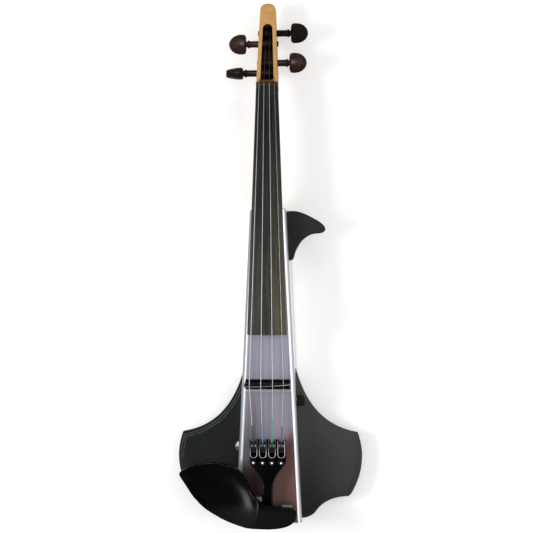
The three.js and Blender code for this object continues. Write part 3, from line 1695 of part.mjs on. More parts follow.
function buildControls() {
  const inside = insideAt(jack_y + jack_body / 2);
  let jack = boxBetween(
    -inside,
    -inside + jack_body_length,
    jack_y - jack_body / 2,
    jack_y + jack_body / 2,
    jack_z - jack_body / 2,
    jack_z + jack_body / 2,
  );
  const bush_end = jack_wall + jack_bush_out;
  jack = jack.add(rod(jackAt(inside - cut_over), jackAt(bush_end), jack_bush_radius, 20));
  jack = jack.subtract(
    rod(jackAt(inside - jack_body_length + sheet), jackAt(bush_end + cut_over), jack_bore_radius, 16),
  );
  addPiece("output_jack", jack, gold);
  const nut_start = jack_wall + 2 * fit_gap;
  const nut = rod(jackAt(nut_start), jackAt(nut_start + jack_nut_length), jack_nut_radius, 6).subtract(
    rod(jackAt(jack_wall), jackAt(bush_end), jack_bush_radius + fit_gap, 20),
  );
  addPiece("jack_nut", nut, gold);

  const pot_inside = insideAt(knob_y + pot_radius);
  const pot_bush_end = knob_wall + 2 * fit_gap;
  let pot = rod(knobAt(pot_inside - pot_length), knobAt(pot_inside), pot_radius, 20);
  pot = pot.add(rod(knobAt(pot_inside - cut_over), knobAt(pot_bush_end), pot_bush_radius, 16));
  pot = pot.subtract(
    rod(
      knobAt(pot_inside - pot_length / 2),
      knobAt(pot_bush_end + cut_over),
      pot_shaft_radius + fit_gap,
      16,
    ),
  );
  addPiece("volume_pot", pot, steel);
  const knob_start = pot_bush_end + fit_gap;
  const place = new THREE.Group();
  place.position.copy(knobAt(knob_start));
  violin.add(place);
  const shaft_in = knob_start - (pot_inside - pot_length / 2) - fit_gap;
  let knob = rod(vec(0, 0, 0), vec(knob_length, 0, 0), knob_radius, 24, knob_radius * knob_end_share);
  knob = knob.add(rod(vec(-shaft_in, 0, 0), vec(cut_over, 0, 0), pot_shaft_radius, 16));
  knob = knob.subtract(
    boxBetween(
      knob_length - cut_over,
      knob_length + cut_over,
      -knob_line_half,
      knob_line_half,
      knob_radius * knob_line_share,
      knob_radius + cut_over,
    ),
  );
  addPiece("volume_knob", knob, brown_knob, place);

  const board_z = cover_sheet + board_lift + fit_gap;
  addPiece(
    "preamp_board",
    boxBetween(
      -board_half,
      board_half,
      board_start_y,
      board_start_y + board_length,
      board_z,
      board_z + board_thickness,
    ),
    green_board,
  );
  const plug_z = board_z + board_thickness + fit_gap;
  const plug_y = board_start_y + plug_size;
  let loom = boxBetween(
    -plug_size,
    plug_size,
    plug_y - plug_size / 2,
    plug_y + plug_size / 2,
    plug_z,
    plug_z + plug_size,
  );
  const lead_z = plug_z + plug_size / 2;
  const leads = [
    [
      vec(0, plug_y, lead_z),
      vec(0, 0, lead_z + plug_size),
      vec(0, 0, plate_z - fit_gap),
    ],
    [
      vec(-plug_size / 2, plug_y, lead_z),
      vec(-plug_size * 1.5, 0, lead_z),
      vec(-plug_size * 1.5, jack_y + jack_body, jack_z),
      vec(-plug_size * 1.5, jack_y + jack_body / 2 + fit_gap, jack_z),
    ],
    [
      vec(plug_size / 2, plug_y, lead_z),
      vec(plug_size, 0, lead_z),
      vec(plug_size, battery_tail_y + battery_length + 6 * fit_gap + battery_box_wall, lead_z),
      vec(plug_size, battery_tail_y + battery_length + 4 * fit_gap + battery_box_wall, lead_z),
    ],
    [
      vec(plug_size / 2, plug_y + wire_radius, lead_z),
      vec(plug_size * 2, knob_y, knob_z),
      vec(pot_inside - pot_length - fit_gap, knob_y, knob_z),
    ],
  ];
  leads.forEach((points) => {
    loom = loom.add(solidOf(tube(points, wire_radius, 8)));
  });
  addPiece("wiring_loom", loom, nylon);
}

buildBody();
buildCover();
buildDoor();
buildTailBlock();
buildNeck();
buildFingerboard();
buildNut();
buildBridge();
buildStrings();
buildTailpiece();
buildTail();
buildTuners();
buildChinrest();
buildWings();
buildFin();
buildControls();

export default violin;
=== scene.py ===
"""Looks of an electric violin, modelled round the packed CAD frame. Metres, as the frame is.

The violin lies on its back: +Z towards the strings, +Y towards the head, +X to the treble side.
Every operator makes one piece, or a group of like pieces, in its own place.
"""

import json
from math import asin, atan2, copysign, cos, hypot, pi, radians, sin, sqrt, tan, tau

import bmesh
import bpy
from bpy.props import FloatProperty, FloatVectorProperty, IntProperty, PointerProperty
from mathutils import Matrix, Vector

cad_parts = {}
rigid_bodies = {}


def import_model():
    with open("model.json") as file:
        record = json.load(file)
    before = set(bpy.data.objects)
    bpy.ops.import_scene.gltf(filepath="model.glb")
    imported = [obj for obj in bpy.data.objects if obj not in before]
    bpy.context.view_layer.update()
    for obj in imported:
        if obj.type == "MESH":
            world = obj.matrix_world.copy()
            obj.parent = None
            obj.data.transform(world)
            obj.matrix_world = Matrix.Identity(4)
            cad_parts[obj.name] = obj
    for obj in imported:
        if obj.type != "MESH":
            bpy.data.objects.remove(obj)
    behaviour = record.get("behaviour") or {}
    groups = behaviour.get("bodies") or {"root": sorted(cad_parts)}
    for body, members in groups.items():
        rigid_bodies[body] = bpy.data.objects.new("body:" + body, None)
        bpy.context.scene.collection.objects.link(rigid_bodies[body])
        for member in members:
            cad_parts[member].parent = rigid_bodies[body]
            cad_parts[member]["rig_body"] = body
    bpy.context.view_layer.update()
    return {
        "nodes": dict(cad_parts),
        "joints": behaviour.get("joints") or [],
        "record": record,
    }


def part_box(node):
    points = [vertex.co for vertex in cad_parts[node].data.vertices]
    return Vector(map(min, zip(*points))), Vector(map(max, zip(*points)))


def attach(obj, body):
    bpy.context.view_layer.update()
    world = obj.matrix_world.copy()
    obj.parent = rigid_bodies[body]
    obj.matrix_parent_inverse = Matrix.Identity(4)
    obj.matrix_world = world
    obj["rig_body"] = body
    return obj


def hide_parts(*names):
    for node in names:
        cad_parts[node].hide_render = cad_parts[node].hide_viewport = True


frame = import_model()

bl_info = {
    "name": "Electric violin",
    "version": (1, 0, 0),
    "blender": (4, 5, 0),
    "location": "View3D > Sidebar > Violin",
    "description": "Builds the pieces and finishes of an electric violin",
    "category": "Add Mesh",
}

MM = 0.001
STRING_NAMES = ("g", "d", "a", "e")
SIDES = {"left": -1, "right": 1}
BOX = {node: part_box(node) for node in frame["nodes"]}
JOINT_AT = {joint["name"]: Vector(joint["pos_m"]) for joint in frame["joints"]}


# Sizes and colours that a user would change

def length(name, mm, about):
    return FloatProperty(
        name=name, description=about, default=mm * MM, min=0, unit="LENGTH", precision=5
    )


def share(name, value, about):
    return FloatProperty(
        name=name, description=about, default=value, min=0, soft_max=1, subtype="FACTOR"
    )


def angle(name, degrees, about):
    return FloatProperty(name=name, description=about, default=radians(degrees), unit="ROTATION")


def steps(name, count, about):
    return IntProperty(name=name, description=about, default=count, min=3)


def to_linear(value):
    value /= 255
    return value / 12.92 if value <= 0.04045 else ((value + 0.055) / 1.055) ** 2.4


def tint(name, red, green, blue, about):
    return FloatVectorProperty(
        name=name, description=about, subtype="COLOR", min=0, max=1,
        default=[to_linear(value) for value in (red, green, blue)],
    )


def place(name, x, y, z, about):
    return FloatVectorProperty(
        name=name, description=about, default=(x * MM, y * MM, z * MM), subtype="XYZ",
        unit="LENGTH",
    )


class BodySizes(bpy.types.PropertyGroup):
    """Folded channel that carries everything else"""

    head_half: length("Head half width", 20.4, "Half the width of the channel at its head end")
    sheet: length("Sheet", 2, "Thickness of the folded metal")
    fold: length("Fold radius", 6, "Outer radius of the folded edges")
    corner: length("Corner", 4, "Rounding of the front face at the head end")
    gap: length("Gap", 0.3, "Clearance between pieces that touch")
    edge: length("Soft edge", 0.5, "Width of the broken edges of small pieces")
    fold_steps: steps("Fold steps", 14, "Faces round each folded edge")


class NeckSizes(bpy.types.PropertyGroup):
    """Neck shaft, heel and fingerboard"""

    overstand: length("Overstand", 5.9, "Fingerboard underside above the front face")
    pitch: angle("Pitch", 2.03, "Slope of the neck towards the nut")
    depth_nut: length("Depth at nut", 12, "Wood under the fingerboard at the nut")
    depth_heel: length("Depth at heel", 13.5, "Wood under the fingerboard at the heel")
    heel: length("Heel", 30, "Length of the curve of the heel")
    heel_foot: length("Heel foot", 12, "Half width of the heel at the back")
    rail: length("Square edge", 1.2, "Straight edge of the neck beside the fingerboard")
    board_end: length("Board reach", 55, "Bridge to the free end of the fingerboard")
    board_nut_half: length("Board at nut", 12.1, "Half width of the fingerboard at the nut")
    board_end_half: length("Board at end", 21.8, "Half width of the fingerboard at its free end")
    board_side: length("Board side", 5.5, "Height of the fingerboard's side")
    board_radius: length("Board arch", 42, "Radius of the fingerboard's arch")
    board_edge: length("Board edge", 0.9, "Rounding of the fingerboard's upper edges")
    hollow: length("Hollow", 2.6, "Depth of the hollow under the free end")
    nut_half: length("Nut half width", 12, "Half width of the nut")
    nut_rise: length("Nut rise", 0.9, "Nut above the fingerboard")
    ring_steps: steps("Ring steps", 32, "Faces round the back of the neck")


class HeadSizes(bpy.types.PropertyGroup):
    """Head with its peg slot"""

    reach: length("Reach", 94.4, "Nut to the tip of the head")
    drop: angle("Drop", 10, "Slope of the head away from the strings")
    top_drop: length("Step behind nut", 1.5, "Cheek tops below the fingerboard's crown")
    nut_half: length("Half width at nut", 12.1, "Half the width of the head beside the nut")
    tip_half: length("Half width at tip", 8.2, "Half the width of the head at its tip")
    nut_depth: length("Depth at nut", 20.5, "Depth of the head at the nut")
    tip_depth: length("Depth at tip", 16, "Depth of the head at its tip")
    slot_start: length("Slot start", 7.3, "Nut to the near end of the peg slot")
    slot_length: length("Slot length", 63.6, "Length of the peg slot")
    slot_near_half: length("Slot near half", 7.5, "Half width of the slot at its near end")
    slot_far_half: length("Slot far half", 5.2, "Half width of the slot at its far end")
    slot_floor: length("Slot floor", 2.8, "Wood under the slot")
    slot_corner: length("Slot corner", 2.5, "Rounding of the slot's near corners")
    edge: length("Cheek edge", 1.1, "Rounding of the upper edges of the cheeks")
    under_edge: length("Under edge", 4, "Rounding of the lower edges of the head")
    ring_steps: steps("Corner steps", 6, "Faces round each long edge of the head")


class PegSizes(bpy.types.PropertyGroup):
    """Tuning pegs"""

    shaft: length("Shaft radius", 3.7, "Radius of the shaft beside the thumb piece")
    tip: length("Tip radius", 3.2, "Radius of the shaft at its far end")
    collar: length("Collar radius", 4.4, "Radius of the collar")
    collar_length: length("Collar length", 2.1, "Length of the collar")
    waist: length("Waist radius", 3.1, "Radius of the waist beside the thumb piece")
    waist_length: length("Waist length", 1.5, "Length of the waist")
    chamfer: length("Chamfer", 0.6, "Chamfer at the tip and the collar")
    thumb: length("Thumb length", 19, "Length of the thumb piece")
    thumb_half: length("Thumb half width", 11.1, "Half the width of the thumb piece")
    thumb_inner: length("Thumb inner half", 6.6, "Half the thickness beside the collar")
    thumb_outer: length("Thumb outer half", 4.6, "Half the thickness at the far end")
    sides: steps("Sides", 48, "Faces round a peg")


class StringSizes(bpy.types.PropertyGroup):
    """Strings, their silk and their turns on the pegs"""

    nut_half: length("Spread at nut", 8.5, "Centreline to the outer strings at the nut")
    bridge_half: length("Spread at bridge", 18.6, "Centreline to the outer strings at the bridge")
    action: length("Action at nut", 0.5, "String above the fingerboard at the nut")
    turn_space: length("Turn space", 0.5, "Between neighbouring turns on a peg")
    to_cheek: length("Cheek distance", 3.2, "String to the cheek where it meets its peg")
    silk: length("Silk diameter", 1.15, "Diameter of the silk wrap")
    turns: steps("Turns", 3, "Turns of a string on its peg")


class BridgeSizes(bpy.types.PropertyGroup):
    """Bridge"""

    height: length("Height", 29.5, "Front face of the body to the crown")
    half: length("Half width", 24.8, "Half the width of the bridge")
    crown: length("Crown arch", 42, "Radius of the crown")
    base_half: length("Base half", 5.2, "Half the length of the foot along the strings")
    crown_half: length("Crown half", 2, "Half the length of the crown along the strings")
    base_height: length("Base height", 7, "Height where the foot narrows")
    edge: length("Edge", 0.45, "Rounding of the edges")


class TailpieceSizes(bpy.types.PropertyGroup):
    """Tailpiece with four built-in fine tuners"""

    half: length("Half width", 20, "Half the width beside the slots")
    stem: length("Stem half", 5.4, "Half the width of the stem")
    shoulder: length("Shoulder", 24.4, "Length of the wide part")
    edge: length("Edge", 1.1, "Rounding of the upper edges")
    slot: length("Slot", 6.6, "Width of each slot")
    slot_length: length("Slot length", 19.3, "Length of each slot")
    bead: length("Bead", 0.45, "Half the width of the bead round each slot")
    pitch: length("Tuner pitch", 10.15, "Between neighbouring tuners")
    pin: length("Pin radius", 1, "Radius of the pin that the levers turn on")
    screw: length("Screw radius", 1.5, "Radius of a tuner screw's shank")
    knob: length("Knob radius", 3.2, "Radius of a tuner screw's knob")
    driver: length("Driver slot", 0.8, "Width and depth of the screwdriver slots")
    # The dome is a bright metal end put where each knob shows its highlight: a painted highlight
    dome: length("Dome radius", 1.15, "Radius of the polished end of a tuner screw")
    dome_rise: length("Dome rise", 0.4, "Height of the polished end of a tuner screw")
    cord: length("Cord radius", 1, "Radius of the tail cord")
    cord_half: length("Cord half spread", 3.1, "Centreline to each run of the cord")
    post: length("Post radius", 2.1, "Radius of the tail post")


class ChinrestSizes(bpy.types.PropertyGroup):
    """Chinrest"""

    rim: length("Rim height", 27.5, "Front face of the body to the rim")
    dish: length("Dish", 9, "Depth of the cup")
    wall: length("Wall", 6.5, "Thickness under the cup")
    arm: length("Arm", 10, "Thickness of the arm")
    turn: angle("Cup turn", -38, "Turn of the oval cup in plan")
    grain: length("Surface grid", 0.8, "Size of the faces of the finished surface")
    rounds: steps("Rim rounds", 10, "Passes that round the rim")


class WingSizes(bpy.types.PropertyGroup):
    """Side wings and fin"""

    reach: length("Reach", 98.1, "Centreline to the upper corner")
    bulge: length("Bulge", 8, "Outer edge past the line between its corners")
    corner_up: length("Upper corner", 96.2, "Tail end of the wing to its upper corner")
    foot_up: length("Foot up", 28.3, "Tail end of the wing to its foot")
    foot_x: length("Foot reach", 91.1, "Centreline to the foot")
    waist_up: length("Waist up", 7.5, "Tail end of the wing to its waist")
    waist_x: length("Waist reach", 51.1, "Centreline to the waist")
    foot_corner: length("Foot corner", 3.2, "Chamfer at the foot")
    waist_corner: length("Waist corner", 4.5, "Rounding at the waist")
    band: length("Band", 4.4, "Width of the sloping border")
    band_drop: length("Band drop", 2.1, "Height of the sloping border")
    edge: length("Edge", 0.9, "Rounding of the outer edge")
    seam: length("Seam", 0.26, "Radius of the raised seams")
    seam_inset: length("Inner seam", 5.8, "Outer edge to the inner seam")
    outer_seam: length("Outer seam", 3.3, "Outer edge to the outer seam")
    fin_reach: length("Fin reach", 42.6, "Body wall to the fin's outer point")
    fin_edge: length("Fin edge", 1.6, "Rounding of the fin's edges")
    curve_steps: steps("Curve steps", 24, "Points along each curve of an outline")


class ControlSizes(bpy.types.PropertyGroup):
    """Jack, volume knob and electrics"""

    bush: length("Bush radius", 4.1, "Radius of the jack's threaded bush")
    bore: length("Bore radius", 3.3, "Radius of the jack's bore")
    nut: length("Nut radius", 5.9, "Radius of the jack nut over its corners")
    knob: length("Knob radius", 6.2, "Radius of the volume knob")
    knob_edge: length("Knob edge", 0.8, "Rounding of the knob's outer edge")
    pot_shaft: length("Pot shaft", 2.4, "Radius of the potentiometer's shaft")
    lead: length("Lead radius", 0.9, "Radius of the wires inside the body")


class Colours(bpy.types.PropertyGroup):
    """Colours of the finishes"""

    maple: tint("Maple", 188, 147, 90, "Oiled maple of the neck and head")
    maple_line: tint("Maple line", 172, 122, 62, "Darker growth lines of the maple")
    # The colour that the inside of the peg slot is darkened to
    slot: tint("Peg slot", 34, 9, 5, "Stain inside the peg slot")
    ebony: tint("Ebony", 9, 16, 10, "Fingerboard at the nut")
    # Painted sheen: the fingerboard's greyer tone towards its free end
    ebony_painted_sheen: tint("Worn ebony", 58, 60, 56, "Fingerboard at its free end")
    # Painted reflection: the browner tone on the treble side of the fingerboard
    ebony_painted_reflection: tint("Warm ebony", 106, 97, 78, "Treble side of the fingerboard")
    nut: tint("Nut", 52, 43, 27, "Nut between the fingerboard and the head")
    rosewood: tint("Rosewood", 22, 13, 9, "Pegs")
    rosewood_brown: tint("Brown rosewood", 66, 42, 32, "Browner wood of some pegs")
    rosewood_line: tint("Rosewood line", 8, 4, 3, "Dark lines of the pegs")
    # Painted reflection on the polished front face: lavender grey under the fingerboard, darker
    # behind the bridge, brown beside the tailpiece; the plate shade is painted shade on the bass
    # side
    plate: tint("Plate", 146, 147, 161, "Front face under the free end of the fingerboard")
    plate_mid: tint("Plate middle", 130, 122, 134, "Front face between bridge and tailpiece")
    plate_painted_shade: tint("Plate shade", 66, 68, 72, "Bass side of the front face behind the bridge")
    plate_painted_reflection: tint("Plate tail", 98, 68, 60, "Front face beside the tailpiece")
    # Painted highlight on the folded edges, brighter on the treble side; their sideways halves
    # take painted shade
    fold: tint("Right fold", 226, 228, 236, "Bright folded edge on the treble side")
    fold_left: tint("Left fold", 158, 168, 176, "Folded edge on the bass side")
    fold_painted_shade: tint("Fold sides", 172, 174, 176, "Outer half of the folded edges")
    wall: tint("Walls", 232, 233, 236, "Side walls of the body")
    steel: tint("Steel", 200, 202, 206, "Screws, levers and strings")
    black_steel: tint("Black steel", 30, 31, 34, "Fine tuner levers and screws")
    rim: tint("Slot rims", 156, 152, 156, "Polished rims of the tailpiece's slots")
    cast: tint("Cast metal", 104, 106, 110, "Feet of the chinrest")
    gold: tint("Gold", 196, 192, 176, "Jack and its nut")
    brass: tint("Brass", 82, 74, 58, "Ball ends")
    # Painted shade of the peg slot on the strings past the nut and on their turns round the pegs
    turns: tint("String turns", 62, 44, 42, "Strings between the nut and the pegs")
    gloss_black: tint("Gloss black", 2, 2, 2, "Chinrest and tailpiece")
    satin_black: tint("Satin black", 3, 3, 4, "Bridge")
    # One black covering for the wings and the fin; its cooler, darker bass tone is painted shade
    leather: tint("Grained black", 62, 63, 60, "Treble wing")
    leather_painted_shade: tint("Cool grained black", 6, 9, 11, "Bass wing")
    seam: tint("Seam", 104, 112, 114, "Seams of the bass wing")
    seam_right: tint("Treble seam", 72, 74, 73, "Seams of the treble wing")
    cover: tint("Cover", 30, 32, 34, "Back cover and battery door")
    nylon: tint("Nylon", 24, 24, 26, "Tail cord and wires")
    board: tint("Board", 30, 84, 56, "Circuit board")
    battery: tint("Battery", 58, 61, 66, "Battery jacket")
    battery_end: tint("Battery end", 176, 120, 66, "Coloured end of the battery jacket")
    knob: tint("Knob", 33, 19, 14, "Volume knob")
    silk_g: tint("G silk", 60, 62, 70, "Silk of the G string")
    silk_d: tint("D silk", 96, 158, 206, "Silk of the D string")
    silk_a: tint("A silk", 92, 186, 160, "Silk of the A string")
    silk_e: tint("E silk", 78, 84, 182, "Silk of the E string")
    floor: tint("Floor", 226, 226, 226, "Floor")


class StageSizes(bpy.types.PropertyGroup):
    """Camera, floor and light"""

    lens: FloatProperty(
        name="Lens", description="Focal length in mm", default=92.14, min=1, unit="CAMERA"
    )
    roll: angle("Roll", -0.158, "Turn of the camera about its own axis")
    eye: place("Camera place", 122.27, 129.81, 1539.93, "Where the camera stands")
    aim: place("Camera aim", -0.905, 129.81, 45, "The point that the camera looks at")
    sky: share("Sky", 0.5, "Strength of the even light")
    lamp: share("Lamps", 1, "Strength of the lamps")


GROUPS = {
    "violin_body": BodySizes, "violin_neck": NeckSizes, "violin_head": HeadSizes,
    "violin_pegs": PegSizes, "violin_strings": StringSizes, "violin_bridge": BridgeSizes,
    "violin_tailpiece": TailpieceSizes, "violin_chinrest": ChinrestSizes,
    "violin_wings": WingSizes, "violin_controls": ControlSizes, "violin_colours": Colours,
    "violin_stage": StageSizes,
}


def sizes(group):
    return getattr(bpy.context.scene, "violin_" + group)


# Places that follow from the frame

TINY = 1e-6  # metres, shorter than any edge of a piece
WELD = 1e-7  # metres, points nearer than this become one
TAIL_Y = BOX["body_channel"][0].y
HEAD_Y = BOX["body_channel"][1].y
TAIL_HALF = BOX["body_channel"][1].x
PLATE_Z = BOX["body_channel"][1].z
WALL_BOTTOM = BOX["body_channel"][0].z
NUT_Y = BOX["nut"][0].y
NUT_BACK_Y = BOX["nut"][1].y
NECK_SCREWS = ("neck_screw_1", "neck_screw_2")


def spot(*place):
    """A point of a plan or a section, or in space"""
    return Vector(place)


def middle(node):
    low, high = BOX[node]
    return (low + high) / 2


def face_middle(node, axis, end=0):
    """Middle of one face of a CAD node's box: its low one, or its high one with end=1"""
    at = middle(node)
    at[axis] = BOX[node][end][axis]
    return at


def side_of(node):
    """1 on the treble side, -1 on the bass side"""
    return 1 if middle(node).x > 0 else -1


def lerp(a, b, t):
    return a + (b - a) * t


def between(value, low, high, at_low, at_high):
    return lerp(at_low, at_high, (value - low) / (high - low))


def sag(half, radius):
    return radius - sqrt(radius * radius - half * half)


def body_half(y):
    return between(y, TAIL_Y, HEAD_Y, TAIL_HALF, sizes("body").head_half)


def inside_half(y):
    body = sizes("body")
    return body_half(y) - body.sheet - body.gap


def board_half(y):
    neck = sizes("neck")
    return between(y, neck.board_end, NUT_Y, neck.board_end_half, neck.board_nut_half)


def board_under(y):
    neck = sizes("neck")
    return PLATE_Z + neck.overstand - (y - HEAD_Y) * tan(neck.pitch)


def board_crown(y):
    neck = sizes("neck")
    return board_under(y) + neck.board_side + sag(board_half(y), neck.board_radius)


def cheek_top(y):
    head = sizes("head")
    start = board_crown(NUT_Y) - head.top_drop - sizes("neck").nut_rise
    return start - (y - NUT_BACK_Y) * tan(head.drop)


def head_under(y):
    head = sizes("head")
    return cheek_top(y) - between(y, NUT_Y, NUT_Y + head.reach, head.nut_depth, head.tip_depth)


def head_half(y):
    head = sizes("head")
    return between(y, NUT_Y, NUT_Y + head.reach, head.nut_half, head.tip_half)


def slot_half(y):
    head = sizes("head")
    start = NUT_Y + head.slot_start
    return between(y, start, start + head.slot_length, head.slot_near_half, head.slot_far_half)


# Curves as points

def quadratic(a, b, c, count):
    """Points of a quadratic curve, without its first one"""
    ways = (k / count for k in range(1, count + 1))
    return [a.lerp(b, t).lerp(b.lerp(c, t), t) for t in ways]


def cubic(a, b, c, d, count):
    """Points of a cubic curve, without its first one"""
    rows = []
    for k in range(1, count + 1):
        t = k / count
        bc = b.lerp(c, t)
        rows.append(a.lerp(b, t).lerp(bc, t).lerp(bc.lerp(c.lerp(d, t), t), t))
    return rows


def arc(centre, radius, start, end, count):
    """Points of a plan arc between two angles in degrees, both ends included"""
    rows = []
    for k in range(count + 1):
        turn = radians(lerp(start, end, k / count))
        rows.append(centre + radius * spot(cos(turn), sin(turn)))
    return rows


def smooth_line(points, count, closed=False):
    """A curve that passes through all the points, with count steps between neighbours"""
    rows = []
    size = len(points)
    spans = size if closed else size - 1
    for i in range(spans):
        if closed:
            a, b, c, d = (points[(i + k) % size] for k in (-1, 0, 1, 2))
        else:
            a, b, c, d = (points[min(max(i + k, 0), size - 1)] for k in (-1, 0, 1, 2))
        for k in range(count):
            t = k / count
            rows.append(
                0.5 * (2 * b + (c - a) * t + (2 * a - 5 * b + 4 * c - d) * t * t
                       + (3 * b - a - 3 * c + d) * t ** 3)
            )
    if not closed:
        rows.append(points[-1].copy())
    return rows


def mirrored(points):
    """A half outline, and its mirror image in reverse order"""
    return points + [spot(-p.x, p.y) for p in reversed(points) if abs(p.x) > WELD]


# Meshes

def at_height(outline, z):
    """A plan outline at one height"""
    return [spot(p.x, p.y, z) for p in outline]


def upright(outline, y):
    """An outline in X and Z, stood across the violin at one station"""
    return [spot(p.x, y, p.y) for p in outline]


def loft(rings):
    """A closed skin that grows from its first ring to its last; all have the same count"""
    bm = bmesh.new()
    face = bm.faces.new([bm.verts.new(point) for point in rings[0]])
    order = list(face.verts)
    for ring in rings[1:]:
        made = bmesh.ops.extrude_face_region(bm, geom=[face, *face.edges])
        face = next(item for item in made["geom"] if isinstance(item, bmesh.types.BMFace))
        place = {tuple(vert.co): i for i, vert in enumerate(order)}
        order = sorted(face.verts, key=lambda vert: place[tuple(vert.co)])
        for vert, point in zip(order, ring):
            vert.co = point
    bmesh.ops.recalc_face_normals(bm, faces=bm.faces)
    return bm


def prism(outline, low, high):
    """A plan outline raised between two heights"""
    return loft([at_height(outline, z) for z in (low, high)])


def prism_along_x(outline, low, high):
    """An outline in Y and Z, drawn out along X"""
    return loft([[spot(x, p.x, p.y) for p in outline] for x in (low, high)])


def prism_along_y(outline, low, high):
    """An outline in X and Z, drawn out along Y"""
    return loft([upright(outline, y) for y in (low, high)])


def sealed(bm):
    """Closes the seams and poles of a skin and points its faces outwards"""
    bmesh.ops.remove_doubles(bm, verts=bm.verts, dist=WELD)
    bmesh.ops.recalc_face_normals(bm, faces=bm.faces)
    return bm


def lathe(profile, centre, axis=(0, 0, 1), count=48, closed=False):
    """Turns (along, radius) pairs about an axis; a closed profile leaves a bore"""
    bm = bmesh.new()
    verts = [bm.verts.new((radius, 0, along)) for along, radius in profile]
    edges = [bm.edges.new(pair) for pair in zip(verts, verts[1:])]
    if closed:
        edges.append(bm.edges.new((verts[-1], verts[0])))
    bmesh.ops.spin(
        bm, geom=verts + edges, cent=(0, 0, 0), axis=(0, 0, 1), angle=tau,
        steps=count, use_merge=True, use_duplicate=False,
    )
    sealed(bm)
    turn = spot(0, 0, 1).rotation_difference(Vector(axis)).to_matrix().to_4x4()
    bmesh.ops.transform(bm, matrix=Matrix.Translation(centre) @ turn, verts=bm.verts)
    return bm


def rod(start, end, radius, end_radius=None, count=32):
    """A round bar between two points"""
    start, end = Vector(start), Vector(end)
    far = radius if end_radius is None else end_radius
    size = (end - start).length
    return lathe([(0, 0), (0, radius), (size, far), (size, 0)], start, end - start, count)


def rod_x(start, size, radius, end_radius=None, count=32):
    """A round bar that runs along X from a point"""
    return rod(start, start + spot(size, 0, 0), radius, end_radius, count)


def tube(points, radius, radii=None, rounds=4):
    """A round tube along points, with closed ends"""
    curve = bpy.data.curves.new("path", "CURVE")
    curve.dimensions = "3D"
    curve.bevel_depth = radius
    curve.bevel_resolution = rounds
    curve.use_fill_caps = True
    spline = curve.splines.new("POLY")
    spline.points.add(len(points) - 1)
    for i, point in enumerate(points):
        spline.points[i].co = (*point, 1)
        spline.points[i].radius = radii[i] if radii else 1
    holder = bpy.data.objects.new("path", curve)
    bm = to_bmesh(bpy.data.meshes.new_from_object(holder))
    bpy.data.objects.remove(holder)
    bpy.data.curves.remove(curve)
    return sealed(bm)


def block(x0, x1, y0, y1, z0, z1):
    """A plain box from its two places along each axis"""
    bm = bmesh.new()
    bmesh.ops.create_cube(bm, size=1)
    bmesh.ops.scale(bm, vec=(x1 - x0, y1 - y0, z1 - z0), verts=bm.verts)
    bmesh.ops.translate(bm, vec=((x0 + x1) / 2, (y0 + y1) / 2, (z0 + z1) / 2), verts=bm.verts)
    return bm


def to_mesh(bm, name="part"):
    """A skin as a mesh; the skin is used up"""
    mesh = bpy.data.meshes.new(name)
    bm.to_mesh(mesh)
    bm.free()
    return mesh


def to_bmesh(mesh):
    """A mesh as a skin; the mesh is used up"""
    bm = bmesh.new()
    bm.from_mesh(mesh)
    bpy.data.meshes.remove(mesh)
    return bm


def new_object(name, data):
    made = bpy.data.objects.new(name, data)
    bpy.context.scene.collection.objects.link(made)
    return made


def join(*parts):
    """Several closed skins as one mesh"""
    whole = bmesh.new()
    for part in parts:
        mesh = to_mesh(part)
        whole.from_mesh(mesh)
        bpy.data.meshes.remove(mesh)
    return whole


def through_modifiers(bm, add_modifiers):
    """The mesh after the modifiers that add_modifiers(object) puts on it"""
    holder = new_object("blank", to_mesh(bm))
    helpers = add_modifiers(holder) or []
    bpy.context.view_layer.update()
    seen = holder.evaluated_get(bpy.context.evaluated_depsgraph_get())
    result = to_bmesh(bpy.data.meshes.new_from_object(seen))
    for item in [holder, *helpers]:
        data = item.data
        bpy.data.objects.remove(item)
        bpy.data.meshes.remove(data)
    return result


def combine(bm, tool, how):
    """Boolean of two closed skins"""
    def add_modifiers(holder):
        helper = new_object("tool", to_mesh(tool))
        modifier = holder.modifiers.new(how, "BOOLEAN")
        modifier.object = helper
        modifier.operation = how
        modifier.solver = "EXACT"
        return [helper]

    return through_modifiers(bm, add_modifiers)


def cut(bm, *tools):
    for tool in tools:
        bm = combine(bm, tool, "DIFFERENCE")
    return bm


def round_edges(bm, edges, width, rounds):
    bmesh.ops.bevel(
        bm, geom=edges, offset=width, offset_type="OFFSET", segments=rounds, profile=0.5,
        affect="EDGES", clamp_overlap=True, material=-1,
    )


def soften(bm, width, least=35, rounds=2):
    """Rounds the edges that turn by more than a number of degrees"""
    bm.normal_update()
    edges = []
    for edge in bm.edges:
        if len(edge.link_faces) == 2 and edge.calc_length() >= TINY:
            if edge.calc_face_angle(0) > radians(least):
                edges.append(edge)
    round_edges(bm, edges, width, rounds)
    return bm


def merged(node):
    """A copy of a CAD node's mesh with its triangles joined into plain faces"""
    bm = bmesh.new()
    bm.from_mesh(frame["nodes"][node].data)
    bmesh.ops.remove_doubles(bm, verts=bm.verts, dist=TINY)
    bmesh.ops.dissolve_limit(bm, angle_limit=radians(1), verts=bm.verts, edges=bm.edges)
    return bm


def body_of(node):
    return frame["nodes"][node]["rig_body"]


FINISHES = {}
SHINE_GROUPS = {
    "gloss_black": "black_shine", "rosewood_g": "bass_shine", "rosewood_d": "bass_shine",
    "rosewood_e": "treble_shine",
}
SLOT_OF = {row["node"]: row["material_slot"] for row in frame["record"]["subparts"]}


